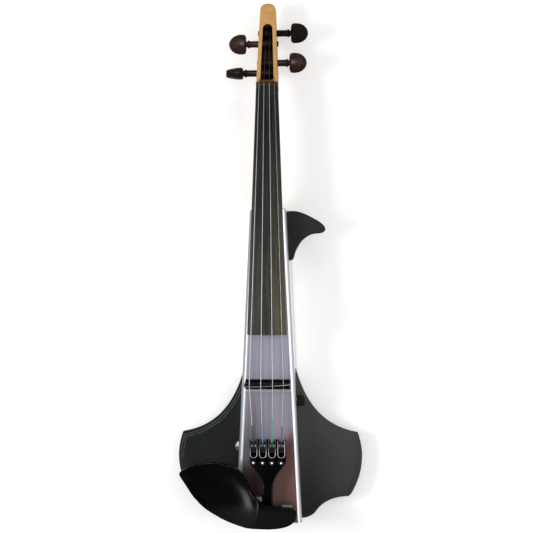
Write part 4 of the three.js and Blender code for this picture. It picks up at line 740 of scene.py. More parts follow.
def finish_piece(name, bm, finish, node, covers=True, sharp=40):
    """Makes the object with its finish: it rides where the CAD node rides"""
    if not FINISHES:
        mix_finishes()
    mesh = to_mesh(bm, name)
    mesh.shade_smooth()
    mesh.set_sharp_from_angle(angle=radians(sharp))
    mesh.materials.append(FINISHES[finish])
    piece = new_object(name, mesh)
    if finish in SHINE_GROUPS:
        bpy.data.collections[SHINE_GROUPS[finish]].objects.link(piece)
    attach(piece, body_of(node))
    if covers:
        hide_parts(node)


def refined(node, width, least=35, rounds=2, finish=None, name=None):
    """A CAD node as a finer piece of the same form, with its edges broken"""
    bm = soften(merged(node), width, least, rounds)
    finish_piece(name or node + "_fine", bm, finish or SLOT_OF[node], node)


# Finishes

class Nodes:
    """A node tree and short ways to fill it"""

    def __init__(self, owner):
        owner.use_nodes = True
        self.tree = owner.node_tree
        self.tree.nodes.clear()

    def node(self, kind, **settings):
        made = self.tree.nodes.new(kind)
        for key, value in settings.items():
            setattr(made, key, value)
        return made

    def feed(self, socket, value):
        """Links a socket to another one, or sets its number or colour"""
        if isinstance(value, bpy.types.NodeSocket):
            self.tree.links.new(value, socket)
        elif socket.type == "RGBA":
            socket.default_value = (*value, 1)
        else:
            socket.default_value = value

    def spread(self, value, low, high, to_low=0.0, to_high=1.0, curve="LINEAR"):
        """Maps a span of values to another one, held at its ends"""
        made = self.node("ShaderNodeMapRange", clamp=True, interpolation_type=curve)
        for socket, number in zip(made.inputs, (value, low, high, to_low, to_high)):
            self.feed(socket, number)
        return made.outputs["Result"]

    def maths(self, kind, first, second=0.0):
        made = self.node("ShaderNodeMath", operation=kind)
        self.feed(made.inputs[0], first)
        self.feed(made.inputs[1], second)
        return made.outputs[0]

    def times(self, first, second):
        return self.maths("MULTIPLY", first, second)

    def plus(self, first, second):
        return self.maths("ADD", first, second)

    def minus(self, first, second):
        return self.maths("SUBTRACT", first, second)

    def seen_directly(self):
        """1 for what the camera sees, also in gloss or through glass"""
        rays = self.node("ShaderNodeLightPath").outputs
        seen = self.maths("MAXIMUM", rays["Is Camera Ray"], rays["Is Glossy Ray"])
        return self.maths("MAXIMUM", seen, rays["Is Transmission Ray"])


class Finish(Nodes):
    """A material and the nodes that make it"""

    def __init__(self, name):
        self.material = bpy.data.materials.new(name)
        super().__init__(self.material)
        self.tone = sizes("colours")
        self.surface = self.node("ShaderNodeBsdfPrincipled")
        output = self.node("ShaderNodeOutputMaterial")
        self.feed(output.inputs["Surface"], self.surface.outputs["BSDF"])
        self.place = self.node("ShaderNodeTexCoord").outputs

    def texture(self, kind, where, inputs, **settings):
        made = self.node(kind, **settings)
        self.feed(made.inputs["Vector"], where)
        for name, value in inputs.items():
            self.feed(made.inputs[name], value)
        return made.outputs[0]

    def noise(self, scale, detail=4, rough=0.55):
        """Noise on Object coordinates, with one scale or one for each axis"""
        scales = scale if isinstance(scale, tuple) else (scale, scale, scale)
        where = self.texture("ShaderNodeMapping", self.place["Object"], {"Scale": scales})
        inputs = {"Scale": 1, "Detail": detail, "Roughness": rough}
        return self.texture("ShaderNodeTexNoise", where, inputs)

    def cells(self, size, feature="F1"):
        where = self.place["Object"]
        return self.texture("ShaderNodeTexVoronoi", where, {"Scale": size}, feature=feature)

    def bands(self, pitch_mm, distortion=0.0):
        """Bands across the violin's length, as wide as a wrapped thread"""
        inputs = {"Scale": pi / (10 * pitch_mm * MM), "Distortion": distortion}
        where = self.place["Object"]
        made = self.texture("ShaderNodeTexWave", where, inputs, bands_direction="Y")
        return made.node.outputs["Fac"]

    def blend(self, amount, first, second):
        made = self.node("ShaderNodeMix", data_type="RGBA")
        for k, value in ((0, amount), (6, first), (7, second)):
            self.feed(made.inputs[k], value)
        return made.outputs[2]

    def axis(self, name, source="Object"):
        """One coordinate of the place, or of the surface's own direction"""
        split = self.node("ShaderNodeSeparateXYZ")
        self.feed(split.inputs[0], self.place[source])
        return split.outputs[name]

    def varied(self, texture, low, high):
        """A roughness that a texture varies between two values"""
        return self.spread(texture, 0.3, 0.7, low, high)

    def bump(self, height, depth_mm, strength=1.0):
        made = self.node("ShaderNodeBump")
        inputs = {"Strength": strength, "Distance": depth_mm * MM, "Height": height}
        for name, value in inputs.items():
            self.feed(made.inputs[name], value)
        self.feed(self.surface.inputs["Normal"], made.outputs["Normal"])

    def set(self, **values):
        names = {
            "colour": "Base Color", "rough": "Roughness", "metal": "Metallic",
            "specular": "Specular IOR Level",
        }
        for key, value in values.items():
            self.feed(self.surface.inputs[names[key]], value)
        return self.material


def shade(colour, factor):
    """The colour made darker, or paler where the factor is above 1"""
    return [min(1, channel * factor) for channel in colour]


def maple_finish():
    """Growth lines along the neck, faint flame across it, and darker inside the peg slot"""
    f = Finish("maple")
    tone = f.tone
    head = sizes("head")
    grain = f.noise((900, 14, 500), 6, 0.65)
    flame = f.noise((50, 150, 50), 2)
    pores = f.noise((2600, 120, 2600), 3)
    wood = f.blend(f.spread(grain, 0.42, 0.66, 0, 0.7), tone.maple, tone.maple_line)
    wood = f.blend(f.spread(flame, 0.4, 0.65, 0, 0.45), wood, shade(tone.maple, 1.25))
    start = NUT_Y + head.slot_start
    end = start + head.slot_length
    along = f.axis("Y")

    def line(value):
        """Follows a value that changes evenly along the slot"""
        return f.spread(along, start, end, value(start), value(end))

    across = f.minus(f.maths("ABSOLUTE", f.axis("X")), line(slot_half))
    below = f.minus(f.axis("Z"), line(cheek_top))
    above = f.minus(f.axis("Z"), line(head_under))
    in_slot = f.spread(across, 0.25 * MM, 0.15 * MM)
    # Darker inside the peg slot and along its near end
    slot_dark = in_slot
    for part in (
        f.spread(below, -0.5 * MM, -2.5 * MM),
        f.spread(above, head.slot_floor - 0.8 * MM, head.slot_floor - 0.4 * MM),
        f.spread(along, end - 0.2 * MM, end - 2 * MM, 0.5, 1),
        f.spread(along, end + 0.4 * MM, end + 0.2 * MM),
        f.spread(along, start - 0.6 * MM, start - 0.3 * MM),
    ):
        slot_dark = f.times(slot_dark, part)
    strip = f.times(in_slot, f.spread(along, start + 0.3 * MM, start, 0, 0.8))
    wood = f.blend(f.maths("MAXIMUM", slot_dark, strip), wood, tone.slot)
    f.bump(f.plus(grain, f.times(pores, 0.6)), 0.02)
    return f.set(colour=wood, rough=f.varied(pores, 0.34, 0.48), specular=0.12)


def ebony_finish():
    """Near black at the nut, with fine streaks; painted sheen greys it towards the free end and
    painted reflection makes its treble side browner
    """
    f = Finish("ebony")
    tone = f.tone
    streak = f.noise((520, 5, 300), 6, 0.6)
    fine = f.noise((2400, 22, 1500))
    # Painted sheen along the board, and painted reflection on its treble side
    tone_shift = f.maths("POWER", f.spread(f.axis("Y"), 0.3, 0.075), 1.25)
    painted_reflection_side = f.spread(f.axis("X"), -0.002, 0.016, 0, 0.8)
    wood = f.blend(tone_shift, tone.ebony, f.blend(painted_reflection_side, tone.ebony_painted_sheen, tone.ebony_painted_reflection))
    dark = f.blend(0.5, wood, (0.004, 0.006, 0.004))
    light = f.blend(0.035, wood, (0.5, 0.52, 0.48))
    wood = f.blend(f.spread(streak, 0.34, 0.66), dark, light)
    wood = f.blend(f.spread(fine, 0.5, 0.78, 0, 0.35), wood, (0.004, 0.005, 0.004))
    wood = f.blend(f.spread(f.axis("Y"), NUT_Y - 2 * MM, NUT_Y, 0, 0.85), wood, tone.nut)
    f.bump(fine, 0.015)
    return f.set(colour=wood, rough=f.varied(fine, 0.36, 0.5), specular=0.07)


ROSEWOOD_BROWN = {"g": 0.3, "d": 1, "a": 0.1, "e": 0.8}  # share of the browner colour


def rosewood_finish(name):
    """Dark wood with lines along the peg, browner in some pegs than in others"""
    f = Finish(name)
    tone = f.tone
    lines = f.noise((60, 900, 900), 6, 0.6)
    cloud = f.noise((120, 160, 160), 3)
    pale = f.blend(ROSEWOOD_BROWN[name[-1]], tone.rosewood, tone.rosewood_brown)
    pale = f.blend(f.spread(cloud, 0.35, 0.65, 0, 0.5), pale, tone.rosewood)
    wood = f.blend(f.spread(lines, 0.4, 0.62, 0, 0.8), pale, tone.rosewood_line)
    f.bump(lines, 0.02)
    return f.set(colour=wood, rough=f.varied(lines, 0.3, 0.42), specular=0.04)


def plate_finish():
    """Painted reflection: lavender grey that fades to brown at the tail, with painted shade on the
    bass side and a painted shadow of the chinrest; bright folds as painted highlight, with painted
    shade where they turn sideways; brushed walls
    """
    f = Finish("body_metal")
    tone = f.tone
    body = sizes("body")
    along = f.axis("Y")
    side = f.axis("X")
    brushed = f.noise((1500, 6, 1500), 5, 0.6)
    broad = f.noise((150, 3, 150), 3)
    cloud = f.noise((26, 18, 26), 3)

    def by_side(bass, treble):
        """One value on the bass side and another one on the treble side"""
        return f.spread(side, -MM, MM, bass, treble)

    # Painted reflection: lavender grey under the fingerboard, darker behind the bridge; painted
    # shade on the bass side behind the bridge
    face = f.blend(f.spread(along, 0.055, -0.05), tone.plate, tone.plate_mid)
    painted_shade_side = f.spread(side, 0.008, -0.02, 0, 0.95)
    face = f.blend(f.times(f.spread(along, -0.004, -0.062), painted_shade_side), face, tone.plate_painted_shade)
    # Painted reflection: brown beside the tailpiece, starting nearer the bridge on the treble side
    sooner = f.spread(side, -0.03, 0.03, -0.0215, 0.0215)
    tail_start = f.plus(f.spread(cloud, 0.35, 0.65, -0.064, -0.072), sooner)
    reflection_fade = f.spread(f.minus(along, tail_start), 0.007, -0.013, curve="SMOOTHSTEP")
    face = f.blend(reflection_fade, face, tone.plate_painted_reflection)
    # Painted shadow of the chinrest: near black on the bass side of the tail end
    painted_chinrest_shadow = f.times(f.spread(along, -0.088, -0.104, 0, 0.9), f.spread(side, 0.004, -0.012))
    face = f.blend(painted_chinrest_shadow, face, shade(tone.plate_painted_reflection, 0.12))
    streaks = f.plus(f.times(brushed, 0.35), f.times(broad, 0.65))
    shine = f.times(f.spread(streaks, 0.4, 0.62), f.minus(0.8, f.times(reflection_fade, 0.62)))
    face = f.blend(shine, face, f.blend(0.2, face, (0.75, 0.76, 0.84)))
    slope = (TAIL_HALF - body.head_half) / (HEAD_Y - TAIL_Y)
    edge = f.plus(f.maths("ABSOLUTE", side), f.times(along, slope))
    inner_edge = f.minus(TAIL_HALF + slope * TAIL_Y, f.times(by_side(0.92, 0.76), body.fold))
    fold = f.spread(f.minus(edge, inner_edge), 0, 0.5 * MM)
    # Painted highlight on the folds, with painted shade where they turn sideways, darker still on
    # the bass side
    bright = f.blend(by_side(0, 1), tone.fold_left, tone.fold)
    outer = f.blend(by_side(0, 1), shade(tone.fold_painted_shade, 0.7), tone.fold_painted_shade)
    upward = f.axis("Z", "Normal")
    bright = f.blend(f.spread(upward, by_side(0.95, 0.84), by_side(0.88, 0.6)), bright, outer)
    wall = f.spread(upward, 0.16, 0.06)
    colour = f.blend(wall, f.blend(fold, face, bright), tone.wall)
    from_line = f.maths("ABSOLUTE", f.minus(along, -7.5 * MM))
    line = f.times(f.spread(from_line, 0.6 * MM, 0.3 * MM, 0, 0.5), f.minus(1.0, fold))
    colour = f.blend(line, colour, (0.7, 0.7, 0.76))
    f.bump(streaks, 0.012)
    rough = f.times(f.varied(brushed, 0.3, 0.42), f.spread(wall, 0, 1, 1, 0.6))
    metal = f.maths("MAXIMUM", f.spread(fold, 0, 1, 0.15, 0.5), wall)
    return f.set(colour=colour, rough=rough, metal=metal, specular=0.1)


def marked_metal(f, colour, low, high):
    """Bare metal whose gloss fine marks vary"""
    marks = f.noise(900, 5, 0.6)
    f.bump(marks, 0.01)
    return f.set(colour=colour, rough=f.varied(marks, low, high), metal=1.0)


def metal_finish(name, colour, low=0.22, high=0.36):
    """Bare metal, duller in clouds"""
    f = Finish(name)
    tone_shift = f.spread(f.noise(90, 3), 0.4, 0.7, 0, 0.6)
    return marked_metal(f, f.blend(tone_shift, colour, shade(colour, 0.72)), low, high)


def lever_finish():
    """Blackened steel, with a painted highlight of bright steel beside the ball end of the string
    """
    f = Finish("fine_tuner_lever")
    ball_z = BOX["string_g_ball"][0].z
    from_ball = f.maths("ABSOLUTE", f.minus(f.axis("Y"), middle("string_g_ball").y))
    upper = f.spread(f.axis("Z"), ball_z - 0.6 * MM, ball_z - 0.3 * MM, 0, 0.5)
    # Painted highlight: bright steel on the upper face beside the ball end
    painted_glint = f.times(f.spread(from_ball, 1.5 * MM, 0.9 * MM), upper)
    return marked_metal(f, f.blend(painted_glint, f.tone.black_steel, f.tone.steel), 0.25, 0.4)


def rim_finish():
    """Polished rim, bright round the ends of the slots and along the treble one; the upper parts
    of the other rims take painted shade
    """
    f = Finish("slot_rim")
    top = BOX["tailpiece"][1].y
    treble = tuner_x("e") - 4.2 * MM
    upper = f.spread(f.axis("Y"), top - 14 * MM, top - 9 * MM, 0, 0.9)
    # Painted shade on the upper parts of the rims, except the treble one
    dark = f.times(upper, f.spread(f.axis("X"), treble, treble - 0.8 * MM))
    return marked_metal(f, f.blend(dark, f.tone.rim, shade(f.tone.rim, 0.15)), 0.3, 0.4)


def string_finish(name, colour, pitch_mm):
    """Fine wrap of a wound string, darker towards the nut, with painted shade of the peg slot past
    the nut and where it winds on its peg
    """
    f = Finish(name)
    wrap = f.bands(pitch_mm, 0.4)
    f.bump(wrap, 0.03)
    shine = f.blend(f.spread(f.axis("Y"), 0.12, 0.3), colour, shade(colour, 0.5))
    # Painted shade of the peg slot past the nut
    shine = f.blend(f.spread(f.axis("Y"), NUT_Y + 2 * MM, NUT_BACK_Y), shine, f.tone.turns)
    dark = f.blend(0.5, shine, (0, 0, 0))
    return f.set(colour=f.blend(f.spread(wrap, 0.2, 0.6), dark, shine), rough=0.42, metal=0.75)


def silk_finish(name):
    """Silk wrapped round the tail end of a string"""
    f = Finish(name)
    colour = getattr(f.tone, name)
    wrap = f.bands(0.3)
    f.bump(wrap, 0.04)
    return f.set(colour=f.blend(wrap, shade(colour, 0.6), colour), rough=0.55)


def gloss_black_finish():
    """Polished black, duller at the tail end"""
    f = Finish("gloss_black")
    black = f.tone.gloss_black
    haze = f.noise(70)
    f.bump(f.noise(1400, 3), 0.006)
    colour = f.blend(f.spread(haze, 0.45, 0.7, 0, 0.7), black, shade(black, 2.2))
    dull = f.spread(f.axis("Y"), -0.14, -0.13, 0.34, 0)
    return f.set(colour=colour, rough=f.plus(f.varied(haze, 0.21, 0.28), dull), specular=0.02)


def satin_black_finish(name, colour, low=0.4, high=0.55):
    f = Finish(name)
    fine = f.noise(1800)
    f.bump(fine, 0.02)
    colour = f.blend(f.spread(f.noise(60, 3), 0.4, 0.7), colour, shade(colour, 1.5))
    return f.set(colour=colour, rough=f.varied(fine, low, high), specular=0.05)


def bridge_finish():
    """Satin black with a painted highlight along the crown"""
    f = Finish("bridge_black")
    fine = f.noise(1800)
    f.bump(fine, 0.02)
    lean = f.plus(f.times(f.axis("X"), -0.05), 0.2 * MM)
    line = f.spread(f.maths("ABSOLUTE", f.plus(f.axis("Y"), lean)), 0.5 * MM, 0.25 * MM)
    line = f.times(line, f.spread(f.axis("Z"), PLATE_Z + 18 * MM, PLATE_Z + 20 * MM))
    line = f.times(line, f.spread(f.axis("X"), 0.004, 0.02, 0.3, 0.65))
    # Painted highlight: a steel-coloured line along the crown
    colour = f.blend(line, f.tone.satin_black, f.tone.steel)
    return f.set(colour=colour, rough=f.varied(fine, 0.35, 0.5), specular=0.03)


def leather_finish():
    """Black covering with a pebbled grain, with painted shade: cooler and darker on the bass side
    and on the fin, and darker towards the tail
    """
    f = Finish("grained_black")
    shaded_leather = f.tone.leather_painted_shade
    along = f.axis("Y")
    side = f.axis("X")
    grain = f.plus(f.cells(900, "SMOOTH_F1"), f.times(f.cells(420), 0.5))
    # Painted shade: the bass side, the fin and the tail end darker
    base = f.blend(f.spread(side, -0.04, 0.04), shaded_leather, f.tone.leather)
    base = f.blend(f.spread(along, 0.04, 0.14, 0, 0.7), base, shaded_leather)
    low = f.times(f.spread(along, -0.035, -0.13, 0, 0.95), f.spread(side, 0.09, 0.045, 0.4, 1))
    base = f.blend(low, base, (0.007, 0.007, 0.007))
    light = f.blend(0.08, base, (0.25, 0.26, 0.26))
    base = f.blend(f.spread(grain, 0.3, 0.9, 0, 0.5), base, light)
    f.bump(f.minus(f.noise(2600, 3), grain), 0.12, 0.8)
    return f.set(colour=base, rough=f.spread(grain, 0.2, 0.9, 0.5, 0.68), specular=0.08)


def seam_finish():
    """Pale thread at the upper edge of the bass wing, faint on the treble wing and lower down"""
    f = Finish("seam")
    shaded_leather = f.tone.leather_painted_shade
    thread = f.noise(900)
    f.bump(thread, 0.03)
    pale = f.blend(f.spread(f.axis("X"), -0.02, 0.02), f.tone.seam, f.tone.seam_right)
    pale = f.blend(f.spread(f.axis("Y"), -0.055, -0.1, 0, 0.8), pale, shaded_leather)
    colour = f.blend(f.spread(thread, 0.35, 0.65), pale, f.blend(0.3, pale, shaded_leather))
    return f.set(colour=colour, rough=0.5, specular=0.08)


def board_finish():
    f = Finish("green_board")
    green = f.tone.board
    traces = f.cells(380, "DISTANCE_TO_EDGE")
    f.bump(traces, 0.05)
    colour = f.blend(f.spread(traces, 0.02, 0.06), green, shade(green, 0.5))
    return f.set(colour=colour, rough=0.4)


def battery_finish():
    f = Finish("battery_jacket")
    low, high = (corner.y for corner in BOX["battery"])
    end = f.spread(f.axis("Y"), lerp(low, high, 0.74), lerp(low, high, 0.75))
    colour = f.blend(end, f.tone.battery, f.tone.battery_end)
    scuff = f.noise(300)
    f.bump(scuff, 0.02)
    return f.set(colour=colour, rough=f.varied(scuff, 0.3, 0.45), metal=0.3)


def knob_finish():
    f = Finish("brown_knob")
    brown = f.tone.knob
    lines = f.noise((80, 900, 900), 5, 0.6)
    f.bump(lines, 0.02)
    colour = f.blend(f.spread(lines, 0.4, 0.65), brown, shade(brown, 0.45))
    return f.set(colour=colour, rough=f.varied(lines, 0.3, 0.42), specular=0.08)


def mix_finishes():
    tone = sizes("colours")
    FINISHES.update(
        maple=maple_finish(),
        ebony=ebony_finish(),
        aluminium=plate_finish(),
        steel=metal_finish("steel", tone.steel),
        black_steel=metal_finish("black_steel", tone.black_steel),
        lever=lever_finish(),
        # Painted highlight: bright metal domes on the tuner knobs
        dome=metal_finish("polished_dome", tone.fold, 0.15, 0.25),
        rim=rim_finish(),
        gold=metal_finish("gold", tone.gold, 0.18, 0.3),
        brass=metal_finish("brass", tone.brass, 0.3, 0.45),
        gloss_black=gloss_black_finish(),
        satin_black=satin_black_finish("satin_black", tone.satin_black),
        bridge=bridge_finish(),
        cast=metal_finish("cast_metal", tone.cast, 0.45, 0.6),
        grained_black=leather_finish(),
        seam=seam_finish(),
        cover_black=satin_black_finish("cover_black", tone.cover, 0.5, 0.65),
        string_steel=string_finish("string_steel", tone.steel, 0.25),
        plain_steel=string_finish("plain_string", tone.fold, 0.12),
        nylon=satin_black_finish("nylon", tone.nylon, 0.35, 0.5),
        green_board=board_finish(),
        battery_skin=battery_finish(),
        brown_knob=knob_finish(),
    )
    for name in STRING_NAMES:
        FINISHES["silk_" + name] = silk_finish("silk_" + name)
        FINISHES["rosewood_" + name] = rosewood_finish("rosewood_" + name)


# Body

SCREW_ROOM = 1.8 * MM  # radius of the holes for the side screws


def channel_section(half):
    """U section of the folded sheet, as X and Z"""
    body = sizes("body")
    centre = spot(half - body.fold, PLATE_Z - body.fold)
    outer = arc(centre, body.fold, 0, 90, body.fold_steps)
    inner = arc(centre, body.fold - body.sheet, 90, 0, body.fold_steps)
    right = [spot(half, WALL_BOTTOM), *outer]
    inside = [*inner, spot(half - body.sheet, WALL_BOTTOM)]
    left = [spot(-p.x, p.y) for p in reversed(right)]
    inside_left = [spot(-p.x, p.y) for p in reversed(inside)]
    return right + left + inside_left + inside


def body_plan():
    """Plan of the body with rounded corners at its head end"""
    body = sizes("body")
    corner_y = HEAD_Y - body.corner
    half = [spot(TAIL_HALF, TAIL_Y), spot(body_half(corner_y), corner_y)]
    half += quadratic(
        half[-1], spot(body.head_half, HEAD_Y),
        spot(body.head_half - body.corner, HEAD_Y), 8,
    )
    return mirrored(half)


def side_screws():
    """Names of the screws in the side walls"""
    names = [f"{side}_wing_screw_{k}" for side in SIDES for k in (1, 2)]
    return names + ["fin_screw_1", "fin_screw_2"]


def stud_places():
    """Plan places and radii of the studs of the post and the chinrest's feet"""
    left, right, post = (
        middle(node) for node in ("chinrest_foot_left", "chinrest_foot_right", "tail_post")
    )
    stud = 2.5 * MM
    return ((left.x, left.y - 5 * MM, stud), (right.x, right.y, stud), (post.x, post.y, 2 * MM))


def make_body():
    gap = sizes("body").gap
    rings = [upright(channel_section(body_half(y)), y) for y in (TAIL_Y, HEAD_Y)]
    plan = prism(body_plan(), -10 * MM, PLATE_Z + 10 * MM)
    channel = combine(loft(rings), plan, "INTERSECT")
    holes = []
    for node in side_screws():
        at = middle(node)
        side = side_of(node)
        start = spot(side * (inside_half(at.y) - 5 * MM), at.y, at.z)
        holes.append(rod_x(start, side * 10 * MM, SCREW_ROOM))
    jack = face_middle("output_jack", 0)
    holes.append(rod_x(jack, 12 * MM, sizes("controls").bush + gap, count=48))
    knob = JOINT_AT["volume_turn"] - spot(8 * MM, 0, 0)
    holes.append(rod_x(knob, 18 * MM, 3.7 * MM, count=48))
    for x, y, radius in stud_places():
        top = spot(x, y, PLATE_Z + 2 * MM)
        holes.append(rod(top - spot(0, 0, 8 * MM), top, radius + gap))
    pickup_lead = spot(0, 0, PLATE_Z)
    holes.append(rod(pickup_lead - spot(0, 0, 6 * MM), pickup_lead + spot(0, 0, 2 * MM), 2 * MM))
    channel = cut(channel, join(*holes))
    finish_piece("folded_channel", channel, "aluminium", "body_channel")


class VIOLIN_OT_body(bpy.types.Operator):
    """Folds the metal channel and cuts its holes"""

    bl_idname = "violin.body"
    bl_label = "Body channel"

    def execute(self, context):
        make_body()
        return {"FINISHED"}


class VIOLIN_OT_back(bpy.types.Operator):
    """Makes the back cover, the battery door and the tail block"""

    bl_idname = "violin.back"
    bl_label = "Back cover and door"

    def execute(self, context):
        edge = sizes("body").edge
        refined("back_cover", edge * 0.6)
        refined("battery_door", edge * 0.6)
        refined("tail_block", edge)
        return {"FINISHED"}


def thread(start, end, pitch, crest, root, step):
    """Profile of a screw thread between two stations"""
    rows = []
    while start < end:
        rows += [(start, crest), (start + pitch * 0.5, root), (start + pitch, crest)]
        start += pitch * step
    return rows


def countersunk(node):
    """A countersunk screw that fills the box of its CAD node, with a driver slot"""
    low, high = BOX[node]
    at = middle(node)
    size = high.z - low.z
    radius = (high.x - low.x) / 2
    shank = radius * 0.5
    cone = size - (radius - shank)
    pitch = 0.7 * MM
    rows = [(0, 0), (0, shank * 0.7), (shank * 0.6, shank)]
    rows += thread(shank * 0.6 + pitch, cone - 2 * pitch, pitch, shank, shank * 0.86, 1.4)
    rows += [(cone, shank), (size - 0.15 * MM, radius), (size, radius * 0.97), (size, 0)]
    groove = block(
        at.x - radius, at.x + radius, at.y - 0.35 * MM, at.y + 0.35 * MM,
        low.z - 0.2 * MM, low.z + 0.8 * MM,
    )
    return cut(lathe(rows, face_middle(node, 2, 1), (0, 0, -1)), groove)


def cheese_head(node):
    """A side screw: a slotted round head inside the body, and a threaded shank"""
    low, high = BOX[node]
    side = side_of(node)
    head = 3 * MM
    shank = 1.5 * MM
    size = high.x - low.x
    rows = [(0, 0), (0, head * 0.82), (0.35 * MM, head), (2 * MM, head), (2 * MM, shank)]
    rows += thread(4 * MM, size - 2 * MM, 0.6 * MM, shank, shank * 0.84, 1.3)
    rows += [(size - 0.6 * MM, shank), (size, shank * 0.5), (size, 0)]
    start = face_middle(node, 0, 0 if side > 0 else 1)
    groove = block(
        start.x - 0.4 * MM, start.x + 0.7 * MM, start.y - head * 1.1, start.y + head * 1.1,
        start.z - 0.35 * MM, start.z + 0.35 * MM,
    )
    return cut(lathe(rows, start, (side, 0, 0)), groove)


class VIOLIN_OT_screws(bpy.types.Operator):
    """Turns the screws of the cover, the neck, the wings and the fin"""

    bl_idname = "violin.screws"
    bl_label = "Screws"

    def execute(self, context):
        for node in ("cover_screw_1", "cover_screw_2", *NECK_SCREWS):
            finish_piece(node + "_turned", countersunk(node), "steel", node)
        for node in side_screws():
            finish_piece(node + "_turned", cheese_head(node), "steel", node)
        return {"FINISHED"}


# Neck, head, fingerboard and nut

def neck_ring(y):
    neck = sizes("neck")
    gap = sizes("body").gap
    top = board_under(y) - gap
    heel_y = HEAD_Y + neck.heel
    depth = between(y, heel_y, NUT_Y, neck.depth_heel, neck.depth_nut)
    drop = min(max((heel_y - y) / neck.heel, 0), 1)
    curve = 1 - sqrt(1 - drop * drop)
    under = lerp(top - depth, WALL_BOTTOM, curve)
    half = board_half(y) - gap
    foot = lerp(0, neck.heel_foot / half, curve)
    ring = [spot(half, y, top)]
    for k in range(neck.ring_steps + 1):
        turn = pi * k / neck.ring_steps
        across, down = cos(turn), sin(turn)
        wide = copysign(abs(across) ** 0.8, across) if abs(across) > 1e-9 else 0
        narrow = lerp(1, foot, curve * down * down)
        low = top - neck.rail - (top - neck.rail - under) * max(down, 0) ** 0.9
        ring.append(spot(half * wide * narrow, y, low))
    ring.append(spot(-half, y, top))
    return ring


def core_block(start, end):
    """A block that fills the channel between two stations"""
    body = sizes("body")
    rings = []
    fold = body.fold - body.sheet
    high = PLATE_Z - body.sheet - body.gap
    for y in (start, end):
        half = inside_half(y)
        right = [(half, WALL_BOTTOM), (half, high - fold), (half - fold, high)]
        left = [(-x, z) for x, z in reversed(right)]
        rings.append([spot(x, y, z) for x, z in right + left])
    return loft(rings)


def follow(points, value, axis):
    """A line's other coordinate where this one has a value; nothing past its ends"""
    for a, b in zip(points, points[1:]):
        if a[axis] <= value <= b[axis]:
            way = (value - a[axis]) / max(b[axis] - a[axis], 1e-9)
            return lerp(a[1 - axis], b[1 - axis], way)


def head_plan_half(y):
    """Half width of the head, with its rounded tip"""
    head = sizes("head")
    tip_y = NUT_Y + head.reach
    curve_length = head.tip_half * 0.85
    start = tip_y - curve_length
    if y <= start:
        return head_half(y)
    points = [spot(head_half(start), start)]
    points += cubic(
        points[0], spot(head.tip_half, tip_y - curve_length * 0.35),
        spot(head.tip_half * 0.6, tip_y), spot(0, tip_y), 40,
    )
    return follow(points, y, 1) or 0


def head_bottom(y):
    """Underside of the head, from the curve of the throat to the rounded tip"""
    head = sizes("head")
    neck = sizes("neck")
    gap = sizes("body").gap
    neck_under = board_under(NUT_Y) - gap - neck.depth_nut
    throat_y = NUT_Y + 16.3 * MM
    half_way = throat_y - 8.15 * MM
    start = spot(NUT_Y - 4 * MM, neck_under)
    points = [start] + cubic(
        start, spot(NUT_Y + 4 * MM, neck_under), spot(half_way, head_under(half_way)),
        spot(throat_y, head_under(throat_y)), 40,
    )
    on_throat = follow(points, y, 0)
    if on_throat is not None:
        return on_throat
    tip_y = NUT_Y + head.reach
    rise = max(0, (y - (tip_y - head.under_edge)) / head.under_edge)
    return head_under(y) + head.under_edge * (1 - sqrt(max(0, 1 - rise * rise)))


def head_ring(y, top, half=None):
    """Rounded section of the head at one station"""
    head = sizes("head")
    half = head_plan_half(y) if half is None else half
    bottom = head_bottom(y)
    upper = min(head.edge, half * 0.6)
    lower = min(head.under_edge, half * 0.85, (top - bottom) * 0.4)
    count = head.ring_steps
    ring = arc(spot(half - upper, top - upper), upper, 90, 0, count)
    ring += arc(spot(half - lower, bottom + lower), lower, 0, -90, count)
    ring += [spot(-p.x, p.y) for p in reversed(ring)]
    return upright(ring, y)


def slot_plan():
    head = sizes("head")
    start = NUT_Y + head.slot_start
    end = start + head.slot_length
    low = slot_half(start)
    high = slot_half(end - head.slot_far_half)
    half = [spot(low - head.slot_corner, start)]
    half += quadratic(
        half[0], spot(low, start),
        spot(slot_half(start + head.slot_corner), start + head.slot_corner), 8,
    )
    half += arc(spot(0, end - high), high, 0, 90, 20)
    return mirrored(half)


def peg_hole(name):
    """Room for a peg through both cheeks"""
    pegs = sizes("pegs")
    gap = sizes("body").gap
    at = JOINT_AT[name + "_peg_turn"]
    side = side_of("peg_" + name)
    reach = head_half(at.y) + MM
    return rod(
        (-side * reach, at.y, at.z), (side * reach, at.y, at.z), pegs.tip + gap, pegs.shaft + gap,
        count=48,
    )


